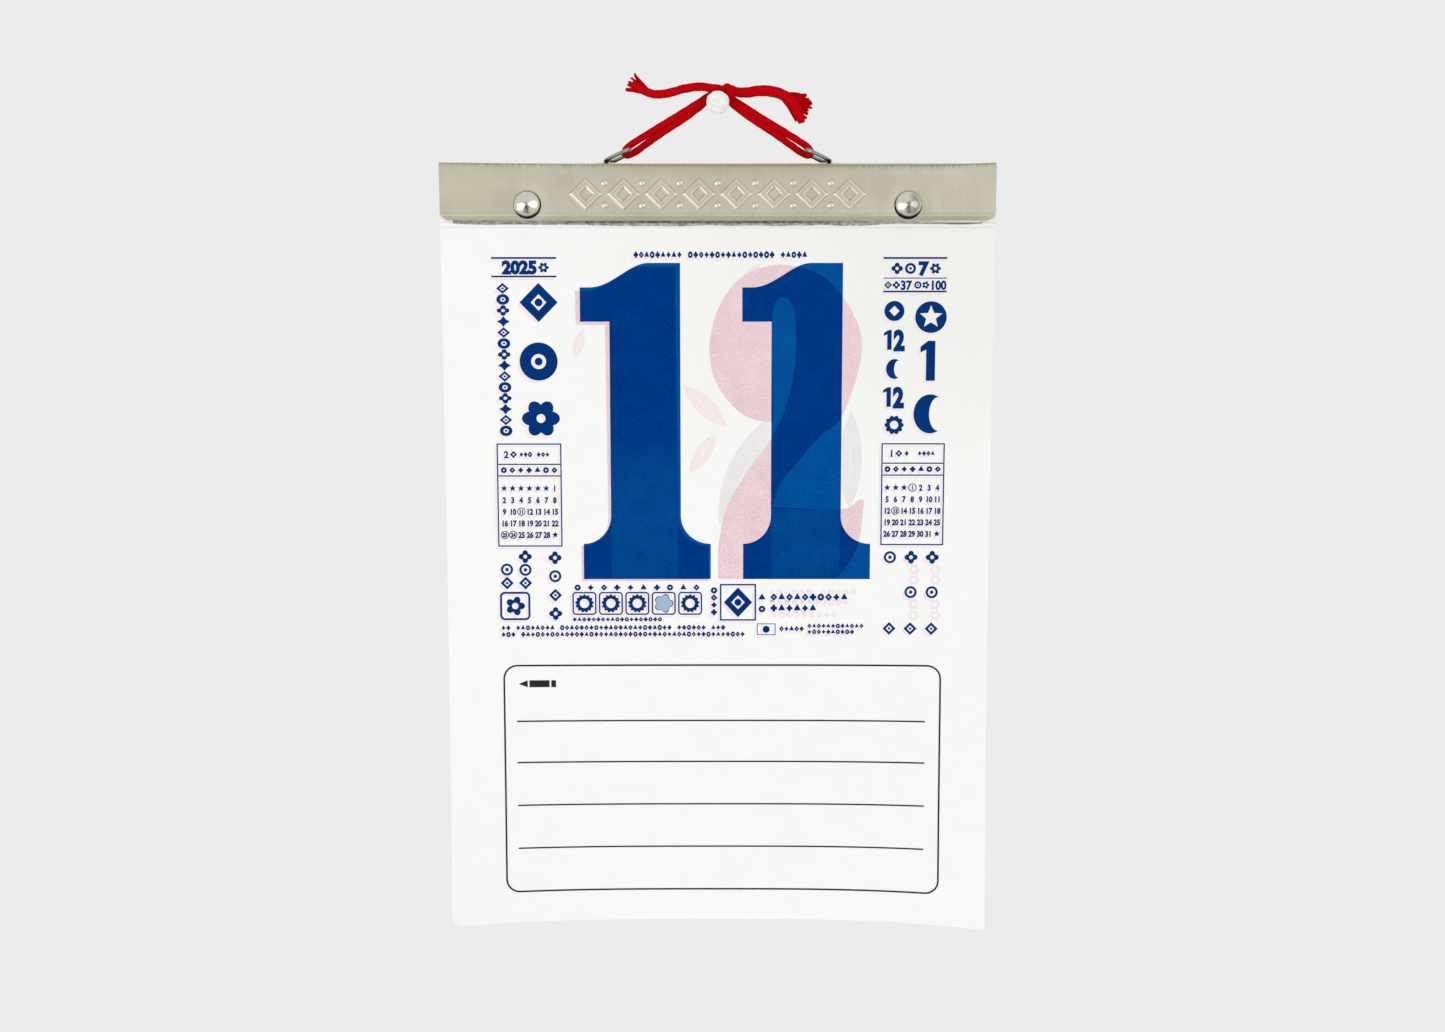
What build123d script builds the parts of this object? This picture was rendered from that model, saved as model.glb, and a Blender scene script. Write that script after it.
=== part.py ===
from build123d import *
import math
import os

# The calendar hangs with its printed side to -Y and its back to the wall, the plane y = 0.
# The origin is where the pin's axis meets the wall. Sizes are in millimetres.

# Leaves and backing board
leaf_width = 182.0
leaf_height = 257.0
paper_thickness = 0.044
single_leaf_thickness = 0.1
leaf_gap = 0.2
torn_leaves = 10
leaves_left = {
    "january": 19,
    "february": 28,
    "march": 31,
    "april": 30,
    "may": 31,
    "june": 30,
    "july": 31,
    "august": 31,
    "september": 30,
    "october": 31,
    "november": 30,
    "december": 31,
}
board_inset = 1.0

# Curl of the lowest corners of the two front leaves
today_curl = 9.0
curl_step = 2.0
curl_power_across = 3.0
curl_power_down = 3.2
curl_columns = 15
curl_rows = 13

# Header strip of folded tinplate
header_inset = 0.25
header_height = 19.0
lip_height = 2.7
back_flange_margin = 3.1
sheet_thickness = 0.3
bend_radius = 0.6
lip_clearance = 0.03
crown_clearance = 0.13
top_clearance = 0.3
corner_cut_width = 4.0
corner_cut_height = 2.9

# Raised ornament on the strip: a row of lozenges with a dot above and below each gap
ornament_count = 8
ornament_pitch = 12.3
lozenge_width = 10.8
lozenge_height = 10.4
lozenge_hollow = 0.45
ornament_margin = 0.9
ornament_relief = 0.4
ornament_draft = 35.0
dot_diameter = 2.0
dot_offset = 3.6

# Rivets and their washers
rivet_inset = 28.45
rivet_rise = 2.9
rivet_head_diameter = 9.2
rivet_head_height = 2.8
rivet_shank_diameter = 3.2
rivet_hole_clearance = 0.1
rivet_tail_diameter = 6.2
rivet_tail_thickness = 0.5
washer_diameter = 6.8
washer_thickness = 0.3
recess_web = 0.4
recess_clearance = 0.2
tail_set_back = 0.3

# Wire staples that bind the leaves
staple_count = 3
staple_pitch = 36.0
staple_drop = 7.0
staple_crown = 12.0
staple_wire = 0.6
staple_clinch = 3.5
staple_bend = 0.5
staple_clearance = 0.05

# Tear line of today's leaf
hinge_drop = 0.4
root_clearance = 0.05
margin_height = 1.5
tear_gap = 0.05
fringe_layers = 3
fringe_teeth = 60
fringe_depth = 1.0
fringe_roughness = 0.28
fine_ripple = 12.9
coarse_ripple = 4.1
layer_shift = 5.0

# Hanging rings and their keepers
ring_spread = 36.8
ring_length = 8.45
ring_side_play = 1.0
ring_wire = 1.3
ring_corner = 2.0
ring_lean = 25.5
ring_seam = 0.15
ring_set_back = 9.5
keeper_width = 5.0
keeper_reach = 3.2
keeper_thickness = 0.35
keeper_clearance = 0.05
ring_float = 0.1

# Wall pin
pin_drop = 20.0
pin_head_diameter = 7.6
pin_head_thickness = 3.2
pin_head_round = 0.9
pin_stand_off = 7.6
pin_shank_diameter = 2.0
pin_socket_depth = 2.0
needle_diameter = 1.1
needle_length = 9.0
needle_point = 2.0
needle_tip_diameter = 0.1

# How near an edge's height must be to count as the same
same_place = 0.001

# Red cord: routes as points that were chosen by hand, from the knot outwards
cord_diameter = 1.9
tail_diameter = 2.7
arc_share = 0.45
bight_radius = 1.75
pin_bend_radius = 2.05
knot_bend_radius = 3.6
knot_place = (3.8, -4.2, 4.0)
knot_half_sizes = (2.6, 2.4, 3.0)
loop_route = [
    (2.5, -3.0, 4.6),
    (0.2, -2.9, 4.75),
    (-31.65, -7.5, -15.04),
    (-29.69, -7.5, -18.06),
    (0.0, -2.6, 2.49),
    (29.69, -7.5, -18.06),
    (31.65, -7.5, -15.04),
    (2.9, -3.2, 2.9),
]
loop_radii = [
    knot_bend_radius,
    bight_radius,
    bight_radius,
    pin_bend_radius,
    bight_radius,
    bight_radius,
]
tail_left_route = [
    (1.9, -5.4, 4.7),
    (-2.0, -5.85, 4.9),
    (-6.3, -6.0, 5.6),
    (-12.1, -6.2, 4.5),
    (-17.0, -6.4, 3.2),
    (-21.5, -6.6, 3.3),
    (-25.2, -6.8, 4.9),
    (-28.2, -6.9, 7.0),
]
tail_right_route = [
    (5.0, -5.0, 3.9),
    (8.6, -5.4, 3.2),
    (12.4, -5.8, 3.95),
    (16.8, -6.1, 4.1),
    (20.9, -6.4, 3.1),
    (23.9, -6.6, 1.3),
    (26.2, -6.8, -1.2),
    (27.4, -7.0, -4.0),
]

# Sizes that follow from the sizes above
board_thickness = recess_web + washer_thickness + rivet_tail_thickness + tail_set_back
next_curl = today_curl - curl_step
header_width = leaf_width - 2 * header_inset
rivet_spread = header_width / 2 - rivet_inset
ring_breadth = keeper_width + 2 * (ring_corner + ring_side_play)

# Heights that follow from the sizes above
header_top = -pin_drop
header_bottom = header_top - header_height
crease_height = header_bottom + lip_height
leaf_top = header_top - sheet_thickness - top_clearance
leaf_bottom = leaf_top - leaf_height
hinge_height = header_bottom - hinge_drop
tear_height = hinge_height - margin_height
rivet_height = crease_height + rivet_rise
back_flange_edge = rivet_height - back_flange_margin
ring_height = header_top + ring_wire / 2 + ring_float
staple_height = header_top - staple_drop
ornament_height = crease_height + ornament_margin + lozenge_height / 2

# Depths that follow from the sizes above, from the wall forwards
board_front = -board_thickness
back_flange_front = board_front - sheet_thickness
block_back = back_flange_front - staple_wire - 2 * staple_clearance
block_front = block_back - paper_thickness * sum(leaves_left.values())
next_front = block_front - single_leaf_thickness
today_back = next_front - leaf_gap
today_front = today_back - single_leaf_thickness
stubs_front = today_front - paper_thickness * torn_leaves
lip_back = stubs_front - lip_clearance
crown_front = stubs_front - staple_wire - 2 * staple_clearance
flange_back = crown_front - crown_clearance
flange_front = flange_back - sheet_thickness
recess_floor = board_front + recess_web


def slab(width, back, front, bottom, top):
    """A block centred on x = 0, between two depths and two heights."""
    middle = Pos(0, (back + front) / 2, (bottom + top) / 2)
    return middle * Box(width, back - front, top - bottom)


def rod(x, height, diameter, back, front):
    """A round bar along Y between two depths."""
    middle = Pos(x, (back + front) / 2, height)
    return middle * Rot(90, 0, 0) * Cylinder(diameter / 2, back - front)


def prism(outline, back, front):
    """An outline of (x, z) points, made solid between two depths."""
    face = Plane.XZ.offset(-back) * make_face(Polyline(outline, close=True))
    return extrude(face, amount=back - front)


def staple_places():
    """The middle of each staple along the strip."""
    first = -staple_pitch * (staple_count - 1) / 2
    return [first + number * staple_pitch for number in range(staple_count)]


def rivet_holes(back, front):
    """The two rivet holes through whatever lies between two depths."""
    size = rivet_shank_diameter + 2 * rivet_hole_clearance
    return [rod(side * rivet_spread, rivet_height, size, back, front) for side in (-1, 1)]


def staple_holes(back, front):
    """The holes of the staples' legs through whatever lies between two depths."""
    size = staple_wire + 2 * staple_clearance
    legs = [place + side * staple_crown / 2 for place in staple_places() for side in (-1, 1)]
    return [rod(leg, staple_height, size, back, front) for leg in legs]


def bound(sheet, back, front):
    """A leaf or pad with the holes that bind it into the strip."""
    return sheet - rivet_holes(back, front) - staple_holes(back, front)


def wire(path, diameter):
    """A round wire or cord along a path."""
    section = Plane(path @ 0, z_dir=path % 0) * Circle(diameter / 2)
    return sweep(section, path)


def cord(route, radii, diameter):
    """A length of cord along straight runs that are joined by arcs."""
    path = FilletPolyline(*route, radius=radii)
    solid = wire(path, diameter)
    expected = math.pi * diameter**2 / 4 * path.length
    print(f"cord of {path.length:.1f} mm, volume {solid.volume:.1f} of {expected:.1f} mm3")
    print("  radii", [round(radius, 1) for radius in radii])
    return solid


def open_radii(route):
    """The largest arc that each corner of a loose route has room for."""
    radii = []
    for before, corner, after in zip(route, route[1:], route[2:]):
        run_in = Vector(corner) - Vector(before)
        run_out = Vector(after) - Vector(corner)
        half_turn = math.radians(run_in.get_angle(run_out)) / 2
        radii.append(arc_share * min(run_in.length, run_out.length) / math.tan(half_turn))
    return radii


def pin_head():
    """The pin's round plastic head, with a socket for its shank."""
    front = -pin_stand_off - pin_head_thickness
    head = rod(0, 0, pin_head_diameter, -pin_stand_off, front)
    head = fillet(head.edges().filter_by(GeomType.CIRCLE), pin_head_round)
    return head - rod(0, 0, pin_shank_diameter, -pin_stand_off, -pin_stand_off - pin_socket_depth)


def pin_shank():
    """The pin's steel: a shank that carries the cord, a shoulder at the wall and a needle."""
    shank = rod(0, 0, pin_shank_diameter, 0, -pin_stand_off - pin_socket_depth)
    needle = rod(0, 0, needle_diameter, needle_length, 0)
    point = Cone(needle_diameter / 2, needle_tip_diameter / 2, needle_point)
    return shank + needle + Pos(0, needle_length + needle_point / 2, 0) * Rot(-90, 0, 0) * point


def ring():
    """The left hanging ring: a bent wire, butted under its keeper, that leans to the middle."""
    half = ring_breadth / 2
    corners = [
        (0, ring_seam / 2, 0),
        (0, half, 0),
        (ring_length, half, 0),
        (ring_length, -half, 0),
        (0, -half, 0),
        (0, -ring_seam / 2, 0),
    ]
    flat_ring = wire(FilletPolyline(*corners, radius=ring_corner), ring_wire)
    return Pos(-ring_spread, -ring_set_back, ring_height) * Rot(0, -ring_lean, 0) * flat_ring


def ring_keeper():
    """The left keeper: a pressed saddle over the foot of the ring, welded to the strip."""
    inner = ring_wire / 2 + keeper_clearance
    outer = inner + keeper_thickness
    axis_height = ring_height - header_top
    arch = Pos(0, axis_height) * Circle(outer)
    arch += Pos(0, axis_height / 2) * Rectangle(2 * outer, axis_height)
    arch += Pos(0, keeper_thickness / 2) * Rectangle(2 * keeper_reach, keeper_thickness)
    arch -= Pos(0, axis_height) * Circle(inner)
    arch -= Pos(0, axis_height / 2) * Rectangle(2 * inner, axis_height)
    arch -= Pos(0, -outer) * Rectangle(2 * keeper_reach, 2 * outer)
    corner = (-ring_spread, -ring_set_back - keeper_width / 2, header_top)
    front_plane = Plane(corner, x_dir=(1, 0, 0), z_dir=(0, -1, 0))
    return extrude(front_plane * arch, amount=-keeper_width)


def ornament():
    """The raised ornament on the strip's front: hollow lozenges with dots between them."""
    front_plane = Plane((0, flange_front, ornament_height), x_dir=(1, 0, 0), z_dir=(0, -1, 0))
    across = lozenge_width / 2
    tall = lozenge_height / 2
    lozenge = Polygon((across, 0), (0, tall), (-across, 0), (0, -tall), align=None)
    hollow = scale(lozenge, by=lozenge_hollow)
    dot = Circle(dot_diameter / 2)
    first = -ornament_pitch * (ornament_count - 1) / 2
    raised = []
    for number in range(ornament_count):
        place = front_plane * Pos(first + number * ornament_pitch, 0)
        plate = extrude(place * lozenge, amount=ornament_relief, taper=ornament_draft)
        raised.append(plate - extrude(place * hollow, amount=ornament_relief))
    for number in range(ornament_count - 1):
        for side in (-1, 1):
            middle = first + (number + 0.5) * ornament_pitch
            place = front_plane * Pos(middle, side * dot_offset)
            raised.append(extrude(place * dot, amount=ornament_relief, taper=ornament_draft))
    return raised


def header_strip():
    """The folded strip: back flange, top, front flange and a lip that leans in to the leaves."""
    under_top = header_top - sheet_thickness
    profile = [
        (board_front, back_flange_edge),
        (board_front, header_top),
        (flange_front, header_top),
        (flange_front, crease_height),
        (lip_back - sheet_thickness, header_bottom),
        (lip_back, header_bottom),
        (flange_back, crease_height),
        (flange_back, under_top),
        (back_flange_front, under_top),
        (back_flange_front, back_flange_edge),
    ]
    end_face = Plane.YZ.offset(-header_width / 2) * make_face(Polyline(profile, close=True))
    strip = extrude(end_face, amount=header_width)
    for height, radius in ((header_top, bend_radius + sheet_thickness), (under_top, bend_radius)):
        bends = strip.edges().filter_by(Axis.X)
        bends = bends.filter_by_position(Axis.Z, height - same_place, height + same_place)
        strip = fillet(bends, radius)
    for side in (-1, 1):
        end = side * header_width / 2
        below = header_bottom - sheet_thickness
        corner = [
            (end, header_bottom + corner_cut_height),
            (end, below),
            (end - side * corner_cut_width, below),
            (end - side * corner_cut_width, header_bottom),
        ]
        strip -= prism(corner, lip_back + sheet_thickness, flange_front - sheet_thickness)
    return (strip + ornament()) - rivet_holes(0, flange_front - sheet_thickness)


def rivet():
    """The left rivet: a domed head, a shank through the stack and a tail set flat on its washer."""
    head_radius = rivet_head_diameter / 2
    shank_radius = rivet_shank_diameter / 2
    dome_radius = (head_radius**2 + rivet_head_height**2) / (2 * rivet_head_height)
    half_arc = math.asin(head_radius / dome_radius) / 2
    crown = flange_front - rivet_head_height
    middle = (dome_radius * math.sin(half_arc), crown + dome_radius * (1 - math.cos(half_arc)))
    tail_front = recess_floor + washer_thickness
    tail_back = tail_front + rivet_tail_thickness
    outline = ThreePointArc((0, crown), middle, (head_radius, flange_front)) + Polyline(
        (head_radius, flange_front),
        (shank_radius, flange_front),
        (shank_radius, tail_front),
        (rivet_tail_diameter / 2, tail_front),
        (rivet_tail_diameter / 2, tail_back),
        (0, tail_back),
        (0, crown),
    )
    return Pos(-rivet_spread, 0, rivet_height) * revolve(make_face(outline), Axis.Y)


def rivet_washer():
    """The left washer, which spreads the rivet's tail over the board."""
    back = recess_floor + washer_thickness
    disc = rod(-rivet_spread, rivet_height, washer_diameter, back, recess_floor)
    return disc - rivet_holes(back, recess_floor)[0]


def backing_board():
    """The board at the back, with a recess for each rivet's tail."""
    board = slab(leaf_width, 0, board_front, leaf_bottom + board_inset, leaf_top)
    for side in (-1, 1):
        size = washer_diameter + 2 * recess_clearance
        board -= rod(side * rivet_spread, rivet_height, size, 0, recess_floor)
    return board - rivet_holes(0, board_front)


def month_pads():
    """The leaves of each month, from the last month at the back to the first in front."""
    pads = {}
    back = block_back
    for month, leaves in reversed(leaves_left.items()):
        front = back - leaves * paper_thickness
        pads[month + "_leaves"] = bound(slab(leaf_width, back, front, leaf_bottom, leaf_top), back, front)
        back = front
    return pads


def curled_leaf(back, top, lift):
    """A single leaf whose lower corners come forward, growing from the strip's edge down."""
    free_length = header_bottom - leaf_bottom
    rows = []
    for row in range(curl_rows):
        height = top + (leaf_bottom - top) * row / (curl_rows - 1)
        down = max(header_bottom - height, 0) / free_length
        points = []
        for column in range(curl_columns):
            across = 2 * column / (curl_columns - 1) - 1
            forward = lift * abs(across) ** curl_power_across * down**curl_power_down
            points.append(Vector(across * leaf_width / 2, back - forward, height))
        rows.append(points)
    surface = Face.make_surface_from_array_of_points(rows)
    return extrude(surface, amount=single_leaf_thickness, dir=(0, -1, 0))


def next_leaf():
    """The leaf of the next day: flat inside the strip, and curled below it."""
    root = slab(leaf_width, block_front, next_front, header_bottom, leaf_top)
    return bound(root, block_front, next_front) + curled_leaf(block_front, header_bottom, next_curl)


def held_stubs():
    """What the strip holds of the leaves torn off so far, and the root of today's leaf."""
    bottom = hinge_height + root_clearance
    stubs = slab(leaf_width, today_front, stubs_front, bottom, leaf_top)
    root = slab(leaf_width, today_back, today_front, bottom, leaf_top)
    return [bound(stubs, today_front, stubs_front), bound(root, today_back, today_front)]


def today_margin():
    """The narrow margin of today's leaf, between the strip and the tear line."""
    return slab(leaf_width, today_back, today_front, tear_height, hinge_height - root_clearance)


def torn_fringe():
    """The ragged edges of the torn leaves below the strip, in a few layers."""
    half = header_width / 2 - corner_cut_width
    top = hinge_height - root_clearance
    layer_thickness = (today_front - stubs_front) / fringe_layers
    layers = []
    for layer in range(fringe_layers):
        edge = []
        for tooth in range(fringe_teeth + 1):
            shift = layer_shift * layer
            rough = math.sin(fine_ripple * tooth + shift) + math.sin(coarse_ripple * tooth + shift)
            depth = fringe_depth + fringe_roughness * rough
            edge.append((-half + 2 * half * tooth / fringe_teeth, top - depth))
        back = today_front - layer * layer_thickness
        layers.append(prism([(half, top), (-half, top)] + edge, back, back - layer_thickness))
    return layers


def binding_staples():
    """The wire staples, with their crowns in front and their legs clinched behind the block."""
    crown_depth = stubs_front - staple_clearance - staple_wire / 2
    clinch_depth = block_back + staple_clearance + staple_wire / 2
    half = staple_crown / 2
    staples = []
    for place in staple_places():
        corners = [
            (place - half + staple_clinch, clinch_depth, staple_height),
            (place - half, clinch_depth, staple_height),
            (place - half, crown_depth, staple_height),
            (place + half, crown_depth, staple_height),
            (place + half, clinch_depth, staple_height),
            (place + half - staple_clinch, clinch_depth, staple_height),
        ]
        staples.append(wire(FilletPolyline(*corners, radius=staple_bend), staple_wire))
    return staples


def both_sides(name, left):
    """A left-hand piece and its mirror image, under their two names."""
    return {name + "_left": left, name + "_right": mirror(left, about=Plane.YZ)}


nodes = {
    "pin_head": pin_head(),
    "pin_shank": pin_shank(),
    "cord_loop": cord(loop_route, loop_radii, cord_diameter),
    "cord_knot": Pos(knot_place) * scale(Sphere(1), by=knot_half_sizes),
    "cord_tail_left": cord(tail_left_route, open_radii(tail_left_route), tail_diameter),
    "cord_tail_right": cord(tail_right_route, open_radii(tail_right_route), tail_diameter),
    **both_sides("ring", ring()),
    **both_sides("ring_keeper", ring_keeper()),
    "header_strip": header_strip(),
    **both_sides("rivet", rivet()),
    **both_sides("rivet_washer", rivet_washer()),
    "binding_staples": binding_staples(),
    "held_stubs": held_stubs(),
    "torn_fringe": torn_fringe(),
    "today_margin": today_margin(),
    "today_leaf": curled_leaf(today_back, tear_height - tear_gap, today_curl),
    "next_leaf": next_leaf(),
    **month_pads(),
    "backing_board": backing_board(),
}

os.makedirs("parts", exist_ok=True)
for name, shape in nodes.items():
    solids = shape if isinstance(shape, list) else shape.solids()
    export_step(Compound(children=[solid for solid in solids]), f"parts/{name}.step")
    print(f"{name}: {len(solids)} solid(s)")
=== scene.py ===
# %% [markdown]
# # A tear-off day calendar, hung on a wall pin
# A block of thin leaves is held in a folded tinplate strip with two rivets.
# Two wire rings on the strip carry a red yarn cord that hangs over a white pin.
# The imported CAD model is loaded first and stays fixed, so every new piece is made
# where the CAD says, and only the looks are added here. The frame is in metres, and
# the sizes of its pieces are written in millimetres. X runs to the right, Y to the
# back and Z up, from the place where the pin's axis meets the wall.

# %% Load the fixed frame
import math
import random

import bmesh
import bpy
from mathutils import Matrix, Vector, noise


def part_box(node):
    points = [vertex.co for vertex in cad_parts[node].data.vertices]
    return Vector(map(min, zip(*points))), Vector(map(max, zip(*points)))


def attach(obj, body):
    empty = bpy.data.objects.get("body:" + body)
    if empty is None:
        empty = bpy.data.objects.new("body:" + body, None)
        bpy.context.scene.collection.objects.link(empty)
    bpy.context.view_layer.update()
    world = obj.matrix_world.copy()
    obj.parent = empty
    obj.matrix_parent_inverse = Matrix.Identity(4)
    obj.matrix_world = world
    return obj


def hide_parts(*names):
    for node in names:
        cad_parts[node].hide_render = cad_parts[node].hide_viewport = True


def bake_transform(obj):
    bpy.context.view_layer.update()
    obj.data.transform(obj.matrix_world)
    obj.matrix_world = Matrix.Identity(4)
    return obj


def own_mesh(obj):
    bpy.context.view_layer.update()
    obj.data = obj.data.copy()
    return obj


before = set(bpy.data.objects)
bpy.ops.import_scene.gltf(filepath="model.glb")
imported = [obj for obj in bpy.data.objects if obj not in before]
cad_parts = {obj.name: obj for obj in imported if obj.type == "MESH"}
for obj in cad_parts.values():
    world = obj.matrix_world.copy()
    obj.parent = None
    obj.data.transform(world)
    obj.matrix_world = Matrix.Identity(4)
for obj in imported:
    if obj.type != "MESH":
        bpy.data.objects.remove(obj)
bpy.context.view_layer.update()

mm = 0.001
scene = bpy.context.scene
scene.view_settings.view_transform = "Standard"

# %% [markdown]
# ## The camera
# The photograph looks straight at the leaf and a little down. The place and lens
# were worked out from the corners of the leaf and the strip, so the render
# lines up with the photograph and needs no shift.

# %% Camera
camera_place = (1.57 * mm, -600 * mm, -53.406 * mm)
camera_dip = 8.125
camera_lens = 43.626
bpy.ops.object.select_all(action="DESELECT")
bpy.ops.object.camera_add(location=camera_place, rotation=(math.radians(90 - camera_dip), 0, 0))
camera = bpy.context.object
camera.data.sensor_fit = "HORIZONTAL"
camera.data.sensor_width = 36
camera.data.lens = camera_lens
scene.camera = camera
print("camera at", [round(number, 3) for number in camera.location])

# %% [markdown]
# ## Light, backdrop and floor
# The photograph has a flat pale backdrop and soft light with no hard shadow.
# The world does both jobs: camera, glossy and transmission rays see the backdrop's
# grey, and all other rays see a pale dome. A stronger lamp at the left and a weaker
# one at the right give the pressed metal its bright edges and the rivets their
# highlights. A pale floor lies far below. One helper adds a node to a tree and fills
# its sockets, with a number or with a link, and the finishes use it too.

# %% One node of a tree
def add(tree, kind, sockets=(), **settings):
    """One shader node, with its settings, and its sockets filled or linked."""
    node = tree.nodes.new("ShaderNode" + kind)
    for setting, value in settings.items():
        setattr(node, setting, value)
    for socket, value in dict(sockets).items():
        if isinstance(value, bpy.types.NodeSocket):
            tree.links.new(value, node.inputs[socket])
        else:
            node.inputs[socket].default_value = value
    return node


# %% World, lamps and floor
backdrop_grey = 0.8388
dome_strength = 0.87
lamp_aim = Vector((0, 0, -0.12))

world = bpy.data.worlds.new("studio")
scene.world = world
world.use_nodes = True
sky = world.node_tree
sky.nodes.clear()
dome = add(sky, "Background", {"Strength": dome_strength})
backdrop = add(sky, "Background", {"Color": (backdrop_grey, backdrop_grey, backdrop_grey, 1)})
rays = add(sky, "LightPath").outputs
seen = rays["Is Camera Ray"]
for ray in ("Is Glossy Ray", "Is Transmission Ray"):
    seen = add(sky, "Math", {0: seen, 1: rays[ray]}, operation="MAXIMUM").outputs[0]
choose = add(sky, "MixShader", {0: seen, 1: dome.outputs[0], 2: backdrop.outputs[0]})
add(sky, "OutputWorld", {0: choose.outputs[0]})


def soft_lamp(place, size, energy):
    """A large round lamp that faces the calendar."""
    bpy.ops.object.light_add(type="AREA", location=place)
    lamp = bpy.context.object
    lamp.rotation_euler = (lamp_aim - Vector(place)).to_track_quat("-Z", "Y").to_euler()
    lamp.data.shape = "DISK"
    lamp.data.size = size
    lamp.data.energy = energy


bpy.ops.object.select_all(action="DESELECT")
soft_lamp((-0.95, -0.85, -0.42), size=1.1, energy=5.8)
soft_lamp((0.95, -0.95, -0.05), size=1.15, energy=3.3)

bpy.ops.mesh.primitive_plane_add(size=1, location=(0, -0.4, -0.75))
floor = bpy.context.object
floor.name = "floor"
floor.scale = (2.4, 1.7, 1)
bpy.ops.object.transform_apply(location=True, rotation=True, scale=True)
print("two lamps, and a dome of strength", dome_strength)

# %% [markdown]
# ## Helpers
# A few short helpers keep the later cells readable: selecting one piece, applying
# its modifiers, and settling a finished piece on its CAD body. Others turn points,
# curves and grids into meshes.

# %% Selecting, closing and settling pieces
def only(piece):
    """Selects one piece and nothing else, and makes it active."""
    bpy.ops.object.select_all(action="DESELECT")
    piece.select_set(True)
    bpy.context.view_layer.objects.active = piece


def apply_modifiers(piece):
    """Applies the piece's modifiers in their order."""
    only(piece)
    for modifier in [modifier.name for modifier in piece.modifiers]:
        bpy.ops.object.modifier_apply(modifier=modifier)


def smooth(piece, angle=50):
    """Smooth shading, except across edges sharper than an angle."""
    only(piece)
    bpy.ops.object.shade_smooth_by_angle(angle=math.radians(angle))


def closed_up(piece, merge=1e-7):
    """Merges a piece's doubled points and turns all its faces outwards."""
    only(piece)
    bpy.ops.object.mode_set(mode="EDIT")
    bpy.ops.mesh.select_all(action="SELECT")
    bpy.ops.mesh.remove_doubles(threshold=merge)
    bpy.ops.mesh.normals_make_consistent(inside=False)
    bpy.ops.object.mode_set(mode="OBJECT")


def thickened(sheet, thickness):
    """Gives a sheet a thickness behind its face, in millimetres."""
    wall = sheet.modifiers.new("sheet", "SOLIDIFY")
    wall.thickness = thickness * mm
    wall.offset = -1
    apply_modifiers(sheet)
    smooth(sheet)
    return sheet


def dress(piece, finish):
    """Gives a piece, new or from the CAD, its finish."""
    piece.data.materials.clear()
    piece.data.materials.append(finish)


def finish_piece(piece, name, finish):
    """Puts a piece's place into its mesh and gives it its name and finish."""
    only(piece)
    bpy.ops.object.transform_apply(location=True, rotation=True, scale=True)
    piece.name = name
    piece.data.name = name
    dress(piece, finish)
    print(name, "has", len(piece.data.polygons), "faces")


def settle(piece, name, finish, body, slot, *replaced):
    """Finishes a piece, sets it on its body and lets it stand for CAD nodes."""
    finish_piece(piece, name, finish)
    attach(piece, body)
    if replaced:
        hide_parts(*replaced)


print("piece helpers ready")

# %% Meshes from points and curves
def new_piece(name, mesh):
    """A new object that holds a mesh."""
    piece = bpy.data.objects.new(name, mesh)
    scene.collection.objects.link(piece)
    return piece


def from_bmesh(name, shape):
    """A new object that holds a finished bmesh."""
    mesh = bpy.data.meshes.new(name)
    shape.to_mesh(mesh)
    shape.free()
    return new_piece(name, mesh)


def add_spline(curve, kind, points):
    """A spline on a curve, with its points given in millimetres."""
    spline = curve.splines.new(kind)
    spline.points.add(len(points) - 1)
    for point, place in zip(spline.points, points):
        point.co = (*[number * mm for number in place], 1)
    return spline


def mesh_from(curve):
    """The mesh of a curve or a text, which is then removed."""
    holder = bpy.data.objects.new("holder", curve)
    mesh = bpy.data.meshes.new_from_object(holder)
    bpy.data.objects.remove(holder)
    bpy.data.curves.remove(curve)
    return mesh


def grid_sheet(columns, rows, place):
    """A grid primitive whose points are set by place(column, row), in millimetres."""
    bpy.ops.object.select_all(action="DESELECT")
    bpy.ops.mesh.primitive_grid_add(
        x_subdivisions=len(columns) - 1, y_subdivisions=len(rows) - 1, size=1
    )
    piece = bpy.context.object
    places = [number * mm for row in rows for column in columns for number in place(column, row)]
    piece.data.vertices.foreach_set("co", places)
    piece.data.update()
    return piece


def write_on(piece, name, values):
    """Writes one value for each point of a piece, for its finish to read."""
    piece.data.attributes.new(name, "FLOAT", "POINT").data.foreach_set("value", values)


def graded(stretches, end):
    """Places along stretches, each given by its start and its size of step, and the end."""
    places = []
    stops = [start for start, size in stretches[1:]] + [end]
    for (start, size), stop in zip(stretches, stops):
        count = max(1, round(abs(stop - start) / size))
        places += [start + (stop - start) * number / count for number in range(count)]
    return places + [end]


def ease(value):
    """Smooth from 0 to 1."""
    value = max(0.0, min(1.0, value))
    return value * value * (3 - 2 * value)


print("mesh helpers ready")

# %% [markdown]
# The shader helpers each add a few nodes. Most finishes here are a colour that follows
# a grain of noise, with a little bump, so one helper makes those. Masks say where a
# finish is worn and where shade and highlights are painted on it, and each mask mixes
# one more colour over what is there.

# %% Shader helpers
def srgb(red, green, blue):
    """A colour picked on screen, 0 to 255, as the linear colour that shaders want."""
    def linear(value):
        value /= 255
        return value / 12.92 if value <= 0.04045 else ((value + 0.055) / 1.055) ** 2.4
    return (linear(red), linear(green), linear(blue), 1)


def new_finish(name, **sockets):
    """A material with a Principled BSDF whose plain sockets are set here."""
    finish = bpy.data.materials.new(name)
    finish.use_nodes = True
    shader = finish.node_tree.nodes["Principled BSDF"]
    for socket, value in sockets.items():
        shader.inputs[socket.replace("_", " ")].default_value = value
    return finish, finish.node_tree, shader


def object_places(tree):
    """The surface's place in the shared frame."""
    return add(tree, "TexCoord").outputs["Object"]


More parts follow.
